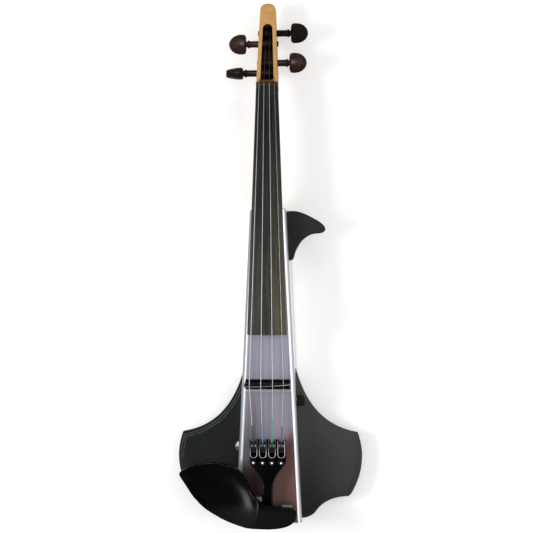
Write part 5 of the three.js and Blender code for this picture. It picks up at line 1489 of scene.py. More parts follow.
def make_neck():
    neck = sizes("neck")
    head = sizes("head")
    gap = sizes("body").gap
    stations = [HEAD_Y + gap]
    stations += [HEAD_Y + neck.heel * (k / 24) ** 1.3 for k in range(1, 25)]
    last = NUT_Y + 2 * MM
    stations += [lerp(HEAD_Y + neck.heel, last, k / 6) for k in range(1, 7)]
    wood = loft([neck_ring(y) for y in stations])
    wood = combine(wood, core_block(HEAD_Y - 58 * MM, HEAD_Y + MM), "UNION")
    seat = board_under(NUT_Y) - gap
    start = NUT_Y - 4 * MM
    behind = NUT_BACK_Y + gap
    rings = [head_ring(start, seat - MM), head_ring(start + 1.5 * MM, seat)]
    rings += [head_ring(lerp(start + 1.5 * MM, behind, k / 6), seat) for k in range(1, 7)]
    tip_y = NUT_Y + head.reach
    rings.append(head_ring(behind + 0.01 * MM, cheek_top(behind) - 0.5 * MM))
    rings.append(head_ring(behind + 0.4 * MM, cheek_top(behind)))
    straight = tip_y - 8 * MM
    for k in range(31):
        y = lerp(behind + MM, straight, k / 30)
        rings.append(head_ring(y, cheek_top(y)))
    for k in range(1, 25):
        way = sin(pi / 2 * k / 24)
        y = lerp(straight, tip_y, way)
        shave = 0.9 * MM * max(0, way - 0.8) / 0.2 * way ** 4
        rings.append(head_ring(y, cheek_top(y) - shave, max(head_plan_half(y), 0.25 * MM)))
    wood = combine(wood, loft(rings), "UNION")
    plan = slot_plan()
    floor = [spot(p.x, p.y, head_under(p.y) + head.slot_floor) for p in plan]
    top = [spot(p.x, p.y, PLATE_Z * 2) for p in plan]
    tools = [peg_hole(name) for name in STRING_NAMES]
    for node in NECK_SCREWS:
        radius = (BOX[node][1].x - BOX[node][0].x) / 4 + gap
        at = face_middle(node, 2, 1)
        tools.append(rod((at.x, at.y, -2 * MM), (at.x, at.y, at.z + gap), radius))
    wood = cut(wood, loft([floor, top]), join(*tools))
    finish_piece("maple_neck", wood, "maple", "neck", sharp=32)


class VIOLIN_OT_neck(bpy.types.Operator):
    """Shapes the neck, its tenon and the head with its peg slot"""

    bl_idname = "violin.neck"
    bl_label = "Neck and head"

    def execute(self, context):
        make_neck()
        return {"FINISHED"}


def board_ring(y, shave=0.0):
    neck = sizes("neck")
    half = board_half(y) - shave
    under = board_under(y) + shave
    crown = board_crown(y) - shave
    edge = neck.board_edge

    def top(x):
        return crown - sag(x, neck.board_radius)

    ring = [spot(half, under)]
    corner = spot(half, top(half))
    inner = spot(half - edge, top(half - edge))
    ring.append(corner - spot(0, edge))
    ring += quadratic(corner - spot(0, edge), corner, inner, 5)
    count = 14
    for k in range(1, count):
        x = (half - edge) * (1 - k / count)
        ring.append(spot(x, top(x)))
    ring.append(spot(0, top(0)))
    return upright(mirrored(ring), y)


def make_fingerboard():
    neck = sizes("neck")
    gap = sizes("body").gap
    start, end = neck.board_end, NUT_Y - gap
    edge = 0.7 * MM
    rings = [board_ring(start, edge)]
    for k in range(1, 5):
        turn = pi / 2 * k / 4
        back = start + edge * (1 - cos(turn))
        rings.append(board_ring(back, edge * (1 - sin(turn))))
    rings += [board_ring(lerp(start + edge, end - 0.3 * MM, k / 12)) for k in range(1, 13)]
    rings.append(board_ring(end, 0.25 * MM))
    board = loft(rings)
    low = board_under(start)
    half = neck.board_end_half - 5 * MM
    wide = half * 0.8
    hollow = [spot(half, low - 3 * neck.hollow), spot(wide, low + 0.7 * neck.hollow)]
    hollow += quadratic(
        hollow[1], spot(wide / 2, low + 1.15 * neck.hollow),
        spot(0, low + 1.15 * neck.hollow), 10,
    )
    scoop = prism_along_y(mirrored(hollow), start - MM, HEAD_Y - 8 * MM)
    finish_piece("ebony_fingerboard", cut(board, scoop), "ebony", "fingerboard")

    top = board_crown(NUT_Y) + neck.nut_rise
    bottom = board_under(NUT_Y) + gap
    edge_z = top - sag(neck.nut_half, neck.board_radius)
    outline = [spot(neck.nut_half, bottom), spot(neck.nut_half, edge_z)]
    outline += quadratic(outline[1], spot(neck.nut_half / 2, top), spot(0, top), 16)
    nut = soften(prism_along_y(mirrored(outline), NUT_Y, NUT_BACK_Y), 0.55 * MM, 50, 3)
    nut = cut(nut, join(*[string_tube(name, gap) for name in STRING_NAMES]))
    finish_piece("ebony_nut", nut, "ebony", "nut")


class VIOLIN_OT_fingerboard(bpy.types.Operator):
    """Shapes the fingerboard and the nut"""

    bl_idname = "violin.fingerboard"
    bl_label = "Fingerboard and nut"

    def execute(self, context):
        make_fingerboard()
        return {"FINISHED"}


# Pegs

PEG_TURN_SHARES = {"g": 0.5, "d": 0, "a": 0, "e": 0}  # of half a turn
THUMB_ROOT_SHARES = (
    (0, 0.66, 0.7), (0.012, 0.78, 0.84), (0.04, 0.88, 0.93), (0.08, 0.945, 0.98), (0.13, 0.985, 1),
    (0.21, 1, 0.98),
)


def peg_rows(name):
    """Stations along a peg from its tip, with the half width and half thickness there"""
    pegs = sizes("pegs")
    gap = sizes("body").gap
    cheek = head_half(JOINT_AT[name + "_peg_turn"].y)
    low, high = BOX["peg_" + name]
    side = side_of("peg_" + name)
    start, tip = sorted((side * low.x, side * high.x))
    end = tip - pegs.thumb
    collar = end - pegs.collar_length - pegs.waist_length
    ring_end = end - pegs.waist_length
    bevel = pegs.chamfer
    rows = [
        (start, pegs.tip * 0.3),
        (start + bevel * 0.15, pegs.tip - bevel),
        (start + bevel * 0.45, pegs.tip - bevel * 0.35),
        (start + bevel, pegs.tip),
        (cheek + gap, pegs.shaft),
        (collar - 3 * bevel, pegs.shaft * 0.97),
        (collar - 2 * bevel, pegs.shaft),
        (collar - 1.2 * bevel, pegs.shaft * 1.03),
        (collar - 0.4 * bevel, pegs.collar - bevel * 0.6),
        (collar, pegs.collar - bevel * 0.25),
        (lerp(collar, ring_end, 0.35), pegs.collar),
        (lerp(collar, ring_end, 0.6), pegs.collar),
        (lerp(collar, ring_end, 0.85), pegs.collar - bevel * 0.5),
        (ring_end, pegs.waist + bevel * 0.6),
        (ring_end + bevel * 0.5, pegs.waist),
        (end - bevel * 0.4, pegs.waist),
        (end - bevel * 0.1, pegs.waist + bevel * 0.3),
    ]
    rows = [(along, radius, radius) for along, radius in rows]
    for along, wide, thick in THUMB_ROOT_SHARES:
        rows.append((end + pegs.thumb * along, pegs.thumb_half * wide, pegs.thumb_inner * thick))
    root = pegs.thumb_inner * THUMB_ROOT_SHARES[-1][2]
    arc_start = end + pegs.thumb * 0.32
    arc_length = pegs.thumb * 0.68
    count = 22
    for k in range(count):
        along = sin(pi / 2 * k / count)
        shrink = sqrt(1 - along * along)
        thick = lerp(root, pegs.thumb_outer, along) * lerp(0.35, 1, shrink ** 0.2)
        rows.append((arc_start + arc_length * along, pegs.thumb_half * shrink, thick))
    rows.append((tip, pegs.thumb_half * 0.08, pegs.thumb_outer * 0.55))
    return rows


def make_pegs():
    pegs = sizes("pegs")
    for name in STRING_NAMES:
        at = JOINT_AT[name + "_peg_turn"]
        side = side_of("peg_" + name)
        turned = Matrix.Rotation(PEG_TURN_SHARES[name] * pi, 3, "X")
        rings = []
        for along, wide, thick in peg_rows(name):
            ring = []
            for k in range(pegs.sides):
                turn = tau * k / pegs.sides
                point = spot(side * along, wide * cos(turn), thick * sin(turn))
                ring.append(turned @ point + spot(0, at.y, at.z))
            rings.append(ring)
        wood = "rosewood_" + name
        finish_piece("rosewood_peg_" + name, loft(rings), wood, "peg_" + name)


class VIOLIN_OT_pegs(bpy.types.Operator):
    """Turns the four tuning pegs"""

    bl_idname = "violin.pegs"
    bl_label = "Pegs"

    def execute(self, context):
        make_pegs()
        return {"FINISHED"}


# Strings

STRING_DIAMETERS = {"g": 0.8, "d": 0.75, "a": 0.7, "e": 0.3}  # mm
SILK_LENGTHS = {"g": 21.8, "d": 23.3, "a": 31.8, "e": 21.8}  # mm from the ball
NUT_SHARES = {"g": -1, "d": -0.35, "a": 0.34, "e": 1}
BRIDGE_SHARES = {"g": -1, "d": -0.31, "a": 0.38, "e": 1}


def string_x(name, y):
    string = sizes("strings")
    at_bridge = BRIDGE_SHARES[name] * string.bridge_half
    return between(y, 0, NUT_Y, at_bridge, NUT_SHARES[name] * string.nut_half)


class Run:
    """The line of one string, and where it meets its peg"""

    def __init__(self, name):
        string = sizes("strings")
        bridge = sizes("bridge")
        neck = sizes("neck")
        pegs = sizes("pegs")
        self.radius = STRING_DIAMETERS[name] * MM / 2
        nut_x = string_x(name, NUT_Y)
        nut_z = board_crown(NUT_Y) - sag(nut_x, neck.board_radius) + string.action + self.radius
        bridge_x = string_x(name, 0)
        self.bridge = spot(bridge_x, 0, PLATE_Z + bridge.height - sag(bridge_x, bridge.crown))
        self.nut = spot(nut_x, NUT_Y, nut_z)
        self.over = spot(nut_x, NUT_BACK_Y, nut_z)
        self.ball = middle(f"string_{name}_ball")
        self.axis = JOINT_AT[name + "_peg_turn"]
        self.side = side_of("peg_" + name)
        self.pitch = 2 * self.radius + string.turn_space
        self.around = pegs.shaft + sizes("body").gap + self.radius
        self.arrive_x = slot_half(self.axis.y) - string.to_cheek - self.radius
        run = self.axis.y - NUT_BACK_Y
        fall = self.axis.z - nut_z
        self.touch = atan2(fall, run) + asin(self.around / hypot(run, fall))
        arrive = self.on_peg(self.touch + pi / 2, self.arrive_x)
        self.along = (self.bridge - self.ball).normalized()
        start = self.ball + self.along * 1.8 * MM
        self.corners = [start, self.bridge, self.nut, self.over, arrive]

    def on_peg(self, turn, x):
        """The place of a turn round the peg"""
        return spot(
            self.side * x,
            self.axis.y + self.around * cos(turn),
            self.axis.z + self.around * sin(turn),
        )

    def turns(self):
        """Points of the turns on the peg, from the cheek side to the hole"""
        count = 40
        first = self.touch + pi / 2
        begin_x = self.arrive_x - self.pitch
        lead = spot(0, -cos(self.touch), -sin(self.touch)) * 2 * self.radius
        points = [self.on_peg(first, begin_x) + lead]
        for k in range(sizes("strings").turns * count + 1):
            way = k / count
            points.append(self.on_peg(first - tau * way, begin_x - self.pitch * way))
        end = points[-1]
        inward = (spot(end.x, self.axis.y, self.axis.z) - end).normalized()
        points.append(end + inward * (0.3 * MM + 3 * self.radius))
        return points


def string_tube(name, grow=0.0):
    run = Run(name)
    return tube(run.corners, run.radius + grow)


def make_strings():
    silk = sizes("strings").silk
    bend = 0.8 * MM
    for name in STRING_NAMES:
        steel = "plain_steel" if name == "e" else "string_steel"
        run = Run(name)
        node = "string_" + name
        way = [run.corners[0]]
        for a, b, c in zip(run.corners, run.corners[1:], run.corners[2:]):
            near = b + (a - b).normalized() * bend
            far = b + (c - b).normalized() * bend
            way += [near] + quadratic(near, b - spot(0, 0, run.radius * 0.1), far, 3)
        way.append(run.corners[-1])
        finish_piece(node + "_wire", tube(way, run.radius), steel, node)
        silk_end = run.ball + run.along * SILK_LENGTHS[name] * MM
        taper = run.along * silk
        spots = [run.corners[0], silk_end - taper, silk_end, silk_end + taper]
        radii = [1, 1, 0.9, (run.radius + 0.04 * MM) / (silk / 2)]
        wrap = tube(spots, silk / 2, radii)
        finish_piece(node + "_silk", wrap, "silk_" + name, node, covers=False)
        finish_piece(node + "_turns", tube(run.turns(), run.radius), steel, node + "_winding")
        low, high = BOX[node + "_ball"]
        radius = (high.y - low.y) / 2
        width = high.x - low.x
        bore = radius * 0.32
        rows = [
            (0.1 * MM, bore), (0, radius * 0.8), (0.08 * width, radius), (0.3 * width, radius),
            (0.38 * width, radius * 0.86), (0.62 * width, radius * 0.86), (0.7 * width, radius),
            (0.92 * width, radius), (width, radius * 0.8), (width - 0.1 * MM, bore),
        ]
        ball = lathe(rows, face_middle(node + "_ball", 0), (1, 0, 0), closed=True)
        finish_piece(node + "_ball_end", ball, "brass", node + "_ball")


class VIOLIN_OT_strings(bpy.types.Operator):
    """Strings the violin: strings, silk wraps, turns on the pegs and ball ends"""

    bl_idname = "violin.strings"
    bl_label = "Strings"

    def execute(self, context):
        make_strings()
        return {"FINISHED"}


# Bridge

def make_bridge():
    bridge = sizes("bridge")
    gap = sizes("body").gap
    low = PLATE_Z + gap
    crown = PLATE_Z + bridge.height
    corner = 2.4 * MM
    outline = [spot(bridge.half, low)]
    shoulder = spot(bridge.half, crown - sag(bridge.half, bridge.crown))
    inner_x = bridge.half - corner
    inner = spot(inner_x, crown - sag(inner_x, bridge.crown))
    outline.append(shoulder - spot(0, corner))
    outline += quadratic(outline[-1], shoulder, inner, 6)
    count = 18
    for k in range(1, count + 1):
        x = inner_x * (1 - k / count)
        outline.append(spot(x, crown - sag(x, bridge.crown)))
    face = prism_along_y(mirrored(outline), -bridge.base_half, bridge.base_half)
    waist = low + bridge.height * 0.6
    foot_top = low + bridge.base_height * 0.7
    side = [spot(bridge.base_half, z) for z in (low - MM, foot_top)]
    side += quadratic(
        side[-1], spot(bridge.crown_half, low + bridge.base_height),
        spot(bridge.crown_half, waist), 14,
    )
    side.append(spot(bridge.crown_half, crown + MM))
    profile = prism_along_x(mirrored(side), -bridge.half - MM, bridge.half + MM)
    made = soften(combine(face, profile, "INTERSECT"), bridge.edge, 50, 3)
    start, end = BOX["bridge_pickup"]
    room = block(start.x - gap, end.x + gap, start.y - gap, end.y + gap, low - MM, end.z + gap)
    notches = join(*[string_tube(name, gap * 0.4) for name in STRING_NAMES])
    made = cut(made, room, notches)
    finish_piece("black_bridge", made, "bridge", "bridge")
    refined("bridge_pickup", 0.2 * MM)


class VIOLIN_OT_bridge(bpy.types.Operator):
    """Shapes the bridge and its pickup strip"""

    bl_idname = "violin.bridge"
    bl_label = "Bridge"

    def execute(self, context):
        make_bridge()
        return {"FINISHED"}


# Tailpiece, tuners, cord and post

def tuner_x(name):
    return (STRING_NAMES.index(name) - 1.5) * sizes("tailpiece").pitch


def tailpiece_plan():
    """Wide end with the tuners, shoulders and stem"""
    tail = sizes("tailpiece")
    low, high = BOX["tailpiece"]
    wide_end = high.y - tail.shoulder
    stem_start = wide_end - tail.half * 1.4
    root = tail.stem * 0.92
    corner = 1.6 * MM
    half = [spot(tail.half - corner, high.y)]
    half += quadratic(half[0], spot(tail.half, high.y), spot(tail.half, high.y - corner), 5)
    half.append(spot(tail.half, wide_end))
    half += cubic(
        half[-1], spot(tail.half * 0.94, wide_end - tail.half * 0.25),
        spot(tail.half * 0.33, wide_end - tail.half * 0.65), spot(root, stem_start), 14,
    )
    half.append(spot(tail.stem, low.y + tail.stem / 2))
    half += quadratic(half[-1], spot(tail.stem, low.y), spot(tail.stem / 2, low.y), 6)
    return mirrored(half)


def slot_line(name, radius, end_y):
    """U line round a tuner slot, open towards the head, with its ends at one station"""
    tail = sizes("tailpiece")
    x = tuner_x(name)
    round_y = BOX["tailpiece"][1].y - tail.slot_length + tail.slot / 2
    bend = arc(spot(x, round_y), radius, 180, 360, 20)
    return [spot(x - radius, end_y), *bend, spot(x + radius, end_y)]


def make_tailpiece():
    tail = sizes("tailpiece")
    gap = sizes("body").gap
    low, high = BOX["tailpiece"]
    under, over = low.z - MM, high.z + MM
    made = prism(tailpiece_plan(), low.z, high.z)
    top = [edge for edge in made.edges if all(v.co.z > high.z - TINY for v in edge.verts)]
    round_edges(made, top, tail.edge, 4)
    tools = []
    for name in STRING_NAMES:
        tools.append(prism(slot_line(name, tail.slot / 2, high.y + MM), under, over))
        x, y = tuner_x(name), JOINT_AT[name + "_tuner_turn"].y
        tools.append(rod((x, y, under), (x, y, over), tail.screw + gap))
    pin = middle("tuner_pin")
    reach = spot(tail.half + MM, 0, 0)
    tools.append(rod(pin - reach, pin + reach, tail.pin + gap))
    cord_z = (low.z + high.z) / 2
    for x in (-tail.cord_half, tail.cord_half):
        start, end = (x, low.y - MM, cord_z), (x, low.y + 10.3 * MM, cord_z)
        tools.append(rod(start, end, tail.cord + gap))
    finish_piece("black_tailpiece", cut(made, *tools), "gloss_black", "tailpiece")
    for name in STRING_NAMES:
        line = slot_line(name, tail.slot / 2 + tail.bead, high.y - 0.8 * MM)
        rim = tube(at_height(line, high.z), tail.bead, rounds=3)
        finish_piece("tailpiece_rim_" + name, rim, "rim", "tailpiece", covers=False)
    low, high = BOX["tuner_pin"]
    radius = (high.z - low.z) / 2
    size = high.x - low.x
    dome = 0.35 * MM
    rows = [(0, 0), (0, radius - dome), (dome, radius), (size - dome, radius)]
    rows += [(size, radius - dome), (size, 0)]
    pin = lathe(rows, face_middle("tuner_pin", 0), (1, 0, 0))
    finish_piece("tuner_pin_turned", pin, "steel", "tuner_pin")


class VIOLIN_OT_tailpiece(bpy.types.Operator):
    """Shapes the tailpiece, its slots and the beads round them, and the pin"""

    bl_idname = "violin.tailpiece"
    bl_label = "Tailpiece"

    def execute(self, context):
        make_tailpiece()
        return {"FINISHED"}


def driver_groove(node):
    tail = sizes("tailpiece")
    top = face_middle(node, 2, 1)
    half, reach = tail.driver / 2, tail.knob * 1.1
    return block(
        top.x - reach, top.x + reach, top.y - half, top.y + half, top.z - tail.driver,
        top.z + MM,
    )


def screw_dome(node):
    """Bright metal end of a fine tuner screw in the middle of its knob: a painted highlight where
    the knob shines
    """
    tail = sizes("tailpiece")
    rows = [(0, 0)]
    for k in range(8):
        turn = pi / 2 * k / 7
        rows.append((tail.dome_rise * sin(turn), tail.dome * cos(turn) + 0.02 * MM))
    rows.append((tail.dome_rise, 0))
    return lathe(rows, face_middle(node, 2, 1) - spot(0, 0, tail.dome_rise))


def knurled_screw(node):
    """Fine tuner screw: shank, knurled knob with a rounded top edge, driver slot; its domed end is
    a piece of its own, made by screw_dome
    """
    tail = sizes("tailpiece")
    low, high = BOX[node]
    at = face_middle(node, 2)
    base = BOX["tailpiece"][1].z + sizes("body").gap
    shank = base - low.z
    top = high.z - tail.dome_rise
    knob = top - base
    size = top - low.z
    edge = 0.5 * MM
    rows = [
        (0, 0), (0, tail.screw * 0.5), (tail.screw * 0.5, tail.screw), (shank, tail.screw),
        (shank, tail.knob - edge), (shank + edge * 0.6, tail.knob), (size - 2 * edge, tail.knob),
        (size - 0.6 * edge, tail.knob - edge * 0.45), (size - 0.1 * edge, tail.knob - 1.3 * edge),
        (size, tail.knob * 0.45), (size, 0),
    ]
    count = 72
    bm = lathe(rows, at, count=count)
    for vert in bm.verts:
        from_axis = spot(vert.co.x - at.x, vert.co.y - at.y)
        in_knurl = base + 0.2 * MM < vert.co.z < base + knob - 0.6 * MM
        if in_knurl and from_axis.length > tail.knob * 0.98:
            index = round(atan2(from_axis.y, from_axis.x) / tau * count)
            if index % 3 == 0:
                vert.co.xy -= from_axis * 0.08
    return cut(bm, driver_groove(node))


def tuner_lever(name):
    """Fine tuner lever: fork for the string, seat for the ball, pivot and long arm"""
    tail = sizes("tailpiece")
    gap = sizes("body").gap
    low, high = BOX["tuner_lever_" + name]
    pivot = JOINT_AT[name + "_lever_tilt"]
    seat = pivot.z + 3.4 * MM
    fork_y = high.y - 3 * MM
    arm_top = low.z + 2.2 * MM
    back = pivot.y - 6 * MM
    lift = 1.4 * MM
    outline = (
        (high.y, low.z), (high.y, high.z), (fork_y, high.z), (fork_y, seat), (back + lift, seat),
        (back, seat - lift), (back, arm_top + lift), (back - lift, arm_top), (low.y, arm_top),
        (low.y, low.z),
    )
    bm = prism_along_x([Vector(corner) for corner in outline], low.x, high.x)
    x = (low.x + high.x) / 2
    fork = sizes("strings").silk / 2 + 1.5 * gap
    notch = block(x - fork, x + fork, fork_y - MM, high.y + MM, seat, high.z + MM)
    hole = rod_x(spot(x - 4 * MM, pivot.y, pivot.z), 8 * MM, tail.pin + gap)
    return cut(soften(bm, 0.45 * MM, 30, 3), notch, hole)


class VIOLIN_OT_tuners(bpy.types.Operator):
    """Makes the fine tuner screws and levers"""

    bl_idname = "violin.tuners"
    bl_label = "Fine tuners"

    def execute(self, context):
        for name in STRING_NAMES:
            node = "tuner_screw_" + name
            finish_piece(node + "_knurled", knurled_screw(node), SLOT_OF[node], node)
            finish_piece(node + "_dome", screw_dome(node), "dome", node, covers=False)
            node = "tuner_lever_" + name
            finish_piece(node + "_forked", tuner_lever(name), "lever", node)
        return {"FINISHED"}


def make_tail():
    tail = sizes("tailpiece")
    gap = sizes("body").gap
    low, high = BOX["tail_post"]
    z = middle("tail_cord").z
    around = tail.post + gap + tail.cord
    half = [
        spot(tail.cord_half, BOX["tailpiece"][0].y - 2 * tail.cord),
        spot(tail.cord_half, BOX["tail_cord"][1].y),
    ]
    line = [spot(-p.x, p.y) for p in reversed(half)]
    line += arc(spot(0, middle("tail_post").y), around, 180, 360, 28) + half
    cord = tube(at_height(line, z), tail.cord, rounds=5)
    finish_piece("looped_cord", cord, "nylon", "tail_cord")
    head = (high.y - low.y) / 2
    size = high.z - low.z
    foot_z = PLATE_Z + gap - low.z
    edge = 0.5 * MM
    cord_low = z - tail.cord - gap - low.z
    head_low = z + tail.cord + gap - low.z
    rows = [
        (0, 0), (0, 1.4 * MM), (0.6 * MM, 2 * MM), (foot_z, 2 * MM), (foot_z, head - edge),
        (foot_z + edge, head), (cord_low - edge, head), (cord_low, head - edge),
        (cord_low, tail.post), (head_low, tail.post), (head_low, head - edge),
        (head_low + edge, head), (size - edge, head), (size - 0.3 * edge, head - 0.4 * edge),
        (size, head - 1.4 * edge), (size, 0),
    ]
    finish_piece("turned_post", lathe(rows, face_middle("tail_post", 2)), "steel", "tail_post")


class VIOLIN_OT_tail(bpy.types.Operator):
    """Makes the tail cord and the post it loops round"""

    bl_idname = "violin.tail"
    bl_label = "Tail cord and post"

    def execute(self, context):
        make_tail()
        return {"FINISHED"}


# Chinrest

CHIN_OUTLINE_SHARES = (
    (0, 0.148), (0.053, 0.083), (0.137, 0.027), (0.246, 0), (0.354, 0.003), (0.451, 0.044),
    (0.511, 0.107), (0.558, 0.213), (0.594, 0.343), (0.618, 0.45), (0.666, 0.546), (0.725, 0.619),
    (0.796, 0.639), (0.881, 0.67), (0.952, 0.678), (0.994, 0.721), (1, 0.807), (0.976, 0.893),
    (0.916, 0.958), (0.821, 0.994), (0.701, 1), (0.557, 0.979), (0.413, 0.905), (0.293, 0.8),
    (0.197, 0.684), (0.113, 0.525), (0.052, 0.354), (0.009, 0.223),
)
CUP_MIDDLE_SHARES = (0.33, 0.47)
CUP_REACH_SHARES = (0.38, 0.27)  # of the chinrest's width


def cup_share(x, y):
    """1 at the middle of the cup, 0 at its rim"""
    low, high = BOX["chinrest"]
    width = high.x - low.x
    from_x = x - lerp(low.x, high.x, CUP_MIDDLE_SHARES[0])
    from_y = y - lerp(high.y, low.y, CUP_MIDDLE_SHARES[1])
    turn = sizes("chinrest").turn
    along = from_x * cos(turn) + from_y * sin(turn)
    across = from_y * cos(turn) - from_x * sin(turn)
    long, short = CUP_REACH_SHARES
    reach = hypot(along / (long * width), across / (short * width))
    return max(0, 1 - reach * reach)


def chin_top(x, y):
    chin = sizes("chinrest")
    cup = cup_share(x, y)
    return PLATE_Z + chin.rim - chin.dish * (1 - (1 - cup) ** 2)


def chin_under(x, y):
    chin = sizes("chinrest")
    arm = PLATE_Z + chin.rim - chin.arm
    return arm - (chin.dish + chin.wall - chin.arm) * sqrt(cup_share(x, y))


def make_chinrest():
    chin = sizes("chinrest")
    low, high = BOX["chinrest"]
    spots = [spot(lerp(low.x, high.x, u), lerp(high.y, low.y, v)) for u, v in CHIN_OUTLINE_SHARES]
    outline = smooth_line(spots, 5, closed=True)
    margin = MM
    bm = bmesh.new()
    bmesh.ops.create_grid(bm, x_segments=96, y_segments=60, size=0.5)
    for vert in bm.verts:
        x = lerp(low.x - margin, high.x + margin, vert.co.x + 0.5)
        y = lerp(low.y - margin, high.y + margin, vert.co.y + 0.5)
        vert.co = (x, y, chin_under(x, y))
    made = bmesh.ops.extrude_face_region(bm, geom=bm.faces[:])
    for item in made["geom"]:
        if isinstance(item, bmesh.types.BMVert):
            item.co.z = chin_top(item.co.x, item.co.y)
    bmesh.ops.recalc_face_normals(bm, faces=bm.faces)
    rest = combine(bm, prism(outline, PLATE_Z, PLATE_Z * 3), "INTERSECT")

    def add_modifiers(holder):
        remesh = holder.modifiers.new("even faces", "REMESH")
        remesh.mode = "VOXEL"
        remesh.voxel_size = chin.grain
        smooth = holder.modifiers.new("round rim", "SMOOTH")
        smooth.factor = 0.5
        smooth.iterations = chin.rounds

    rest = through_modifiers(rest, add_modifiers)
    finish_piece("black_chinrest", rest, "gloss_black", "chinrest", sharp=180)
    for side in SIDES:
        refined("chinrest_foot_" + side, 0.8 * MM, 50, 3, "cast")


class VIOLIN_OT_chinrest(bpy.types.Operator):
    """Shapes the chinrest and its feet"""

    bl_idname = "violin.chinrest"
    bl_label = "Chinrest"

    def execute(self, context):
        make_chinrest()
        return {"FINISHED"}


# Wings and fin

def wing_outline(side):
    """Plan of a wing, drawn past the wall on its inner side"""
    wings = sizes("wings")
    low, high = BOX["right_wing"]
    end_y, head_y = low.y, high.y
    corner_y = end_y + wings.corner_up
    foot_y = end_y + wings.foot_up
    waist_y = end_y + wings.waist_up
    neck_x = body_half(head_y)
    inner = sizes("body").head_half * 2 / 3
    count = wings.curve_steps
    points = [spot(inner, head_y + 33 * MM), spot(neck_x - 2 * MM, head_y + 11 * MM)]
    points.append(spot(neck_x, head_y))
    points += quadratic(
        points[-1],
        spot(lerp(neck_x, wings.reach, 0.23), lerp(corner_y, head_y, 0.118)),
        spot(wings.reach, corner_y), count,
    )
    points += quadratic(
        points[-1],
        spot((wings.reach + wings.foot_x) / 2 + 2 * wings.bulge, (corner_y + foot_y) / 2),
        spot(wings.foot_x, foot_y), count,
    )
    cut_corner = spot(wings.foot_x - wings.foot_corner, foot_y - wings.foot_corner)
    points.append(cut_corner)
    points += quadratic(
        cut_corner,
        spot(lerp(wings.waist_x, wings.foot_x, 0.27), foot_y - 1.3 * wings.foot_corner),
        spot(wings.waist_x, waist_y), count,
    )
    points += quadratic(
        points[-1],
        spot(wings.waist_x - wings.waist_corner, (waist_y + 3 * end_y) / 4),
        spot(body_half(end_y), end_y), 10,
    )
    points.append(spot(inner, end_y - 5.5 * MM))
    return [spot(side * p.x, p.y) for p in points]


def screw_room(node):
    """Hole for a side screw, from the wall to just past its end"""
    at = middle(node)
    side = side_of(node)
    end_x = BOX[node][1 if side > 0 else 0].x + side * 0.3 * MM
    start_x = side * (body_half(at.y) - MM)
    return rod_x(spot(start_x, at.y, at.z), end_x - start_x, SCREW_ROOM)


def wall_space():
    """Space between the side walls, to trim what stands against them"""
    gap = sizes("body").gap
    past = 12 * MM
    half = [
        spot(body_half(TAIL_Y - past) + gap, TAIL_Y - past),
        spot(body_half(HEAD_Y + past) + gap, HEAD_Y + past),
    ]
    return prism(mirrored(half), -MM, PLATE_Z + MM)


def drawn_in(outline, distance):
    """The outline moved inwards, with as many points as before"""
    count = len(outline)
    ahead = outline[1:] + outline[:1]
    area = sum(a.x * b.y - b.x * a.y for a, b in zip(outline, ahead))
    turn = copysign(1, area)
    moved = []
    for k, point in enumerate(outline):
        before = (point - outline[k - 1]).normalized()
        after = (ahead[k] - point).normalized()
        across = spot(-before.y - after.y, before.x + after.x).normalized() * turn
        lean = across.dot(spot(-after.y, after.x) * turn)
        moved.append(point + across * distance / max(lean, 0.3))

    def clear(point):
        for a, b in zip(outline, ahead):
            along = (point - a).dot(b - a) / (b - a).length_squared
            if (point - a.lerp(b, min(max(along, 0), 1))).length < distance * 0.97:
                return False
        return True

    good = [k for k in range(count) if clear(moved[k])]
    for first, last in zip(good, good[1:] + [good[0] + count]):
        for k in range(first + 1, last):
            step = (k - first) / (last - first)
            moved[k % count] = moved[first].lerp(moved[last % count], step)
    return moved


def padded_panel(outline, low, high):
    """A panel with a sloping border at the front and back and a rounded edge"""
    wings = sizes("wings")
    drop, edge = wings.band_drop, wings.edge
    border = drawn_in(outline, wings.band)
    half_way = drawn_in(outline, edge)
    levels = (
        (border, low), (half_way, low + drop * 0.85), (outline, low + drop + edge),
        (outline, high - drop - edge), (half_way, high - drop * 0.85), (border, high),
    )
    return loft([at_height(line, z) for line, z in levels])


def seam(outline, inset, z, radius):
    """Raised line along the part of an outline that stands clear of the body"""
    line = drawn_in(outline, inset)
    line = [p for p in line if abs(p.x) > body_half(p.y) + 2 * radius]
    start = max(range(len(line)), key=lambda k: (line[k] - line[k - 1]).length)
    return tube(at_height(line[start:] + line[:start], z), radius, rounds=2)


def make_wings():
    wings = sizes("wings")
    slope = wings.band_drop * 0.85 / (wings.band - wings.edge)
    for name, side in SIDES.items():
        node = name + "_wing"
        low, high = BOX[node]
        outline = wing_outline(side)
        screws = join(*[screw_room(f"{node}_screw_{k}") for k in (1, 2)])
        bm = cut(padded_panel(outline, low.z, high.z), wall_space(), screws)
        finish_piece(node + "_covered", bm, "grained_black", node, sharp=50)
        lines = []
        for inset in (wings.seam_inset, wings.outer_seam):
            z = high.z - slope * max(wings.band - inset, 0)
            lines.append(seam(outline, inset, z, wings.seam))
        finish_piece(node + "_seams", join(*lines), "seam", node, covers=False)


class VIOLIN_OT_wings(bpy.types.Operator):
    """Makes the two covered side wings"""

    bl_idname = "violin.wings"
    bl_label = "Wings"

    def execute(self, context):
        make_wings()
        return {"FINISHED"}


FIN_OUTLINE_SHARES = (
    (0, 0.012), (0.235, 0.009), (0.46, 0.06), (0.67, 0.14), (0.84, 0.216), (0.95, 0.288),
    (1, 0.36), (0.977, 0.412), (0.89, 0.45), (0.685, 0.468), (0.535, 0.514), (0.39, 0.604),
    (0.29, 0.719), (0.215, 0.833), (0.17, 0.955), (0.12, 1),
)


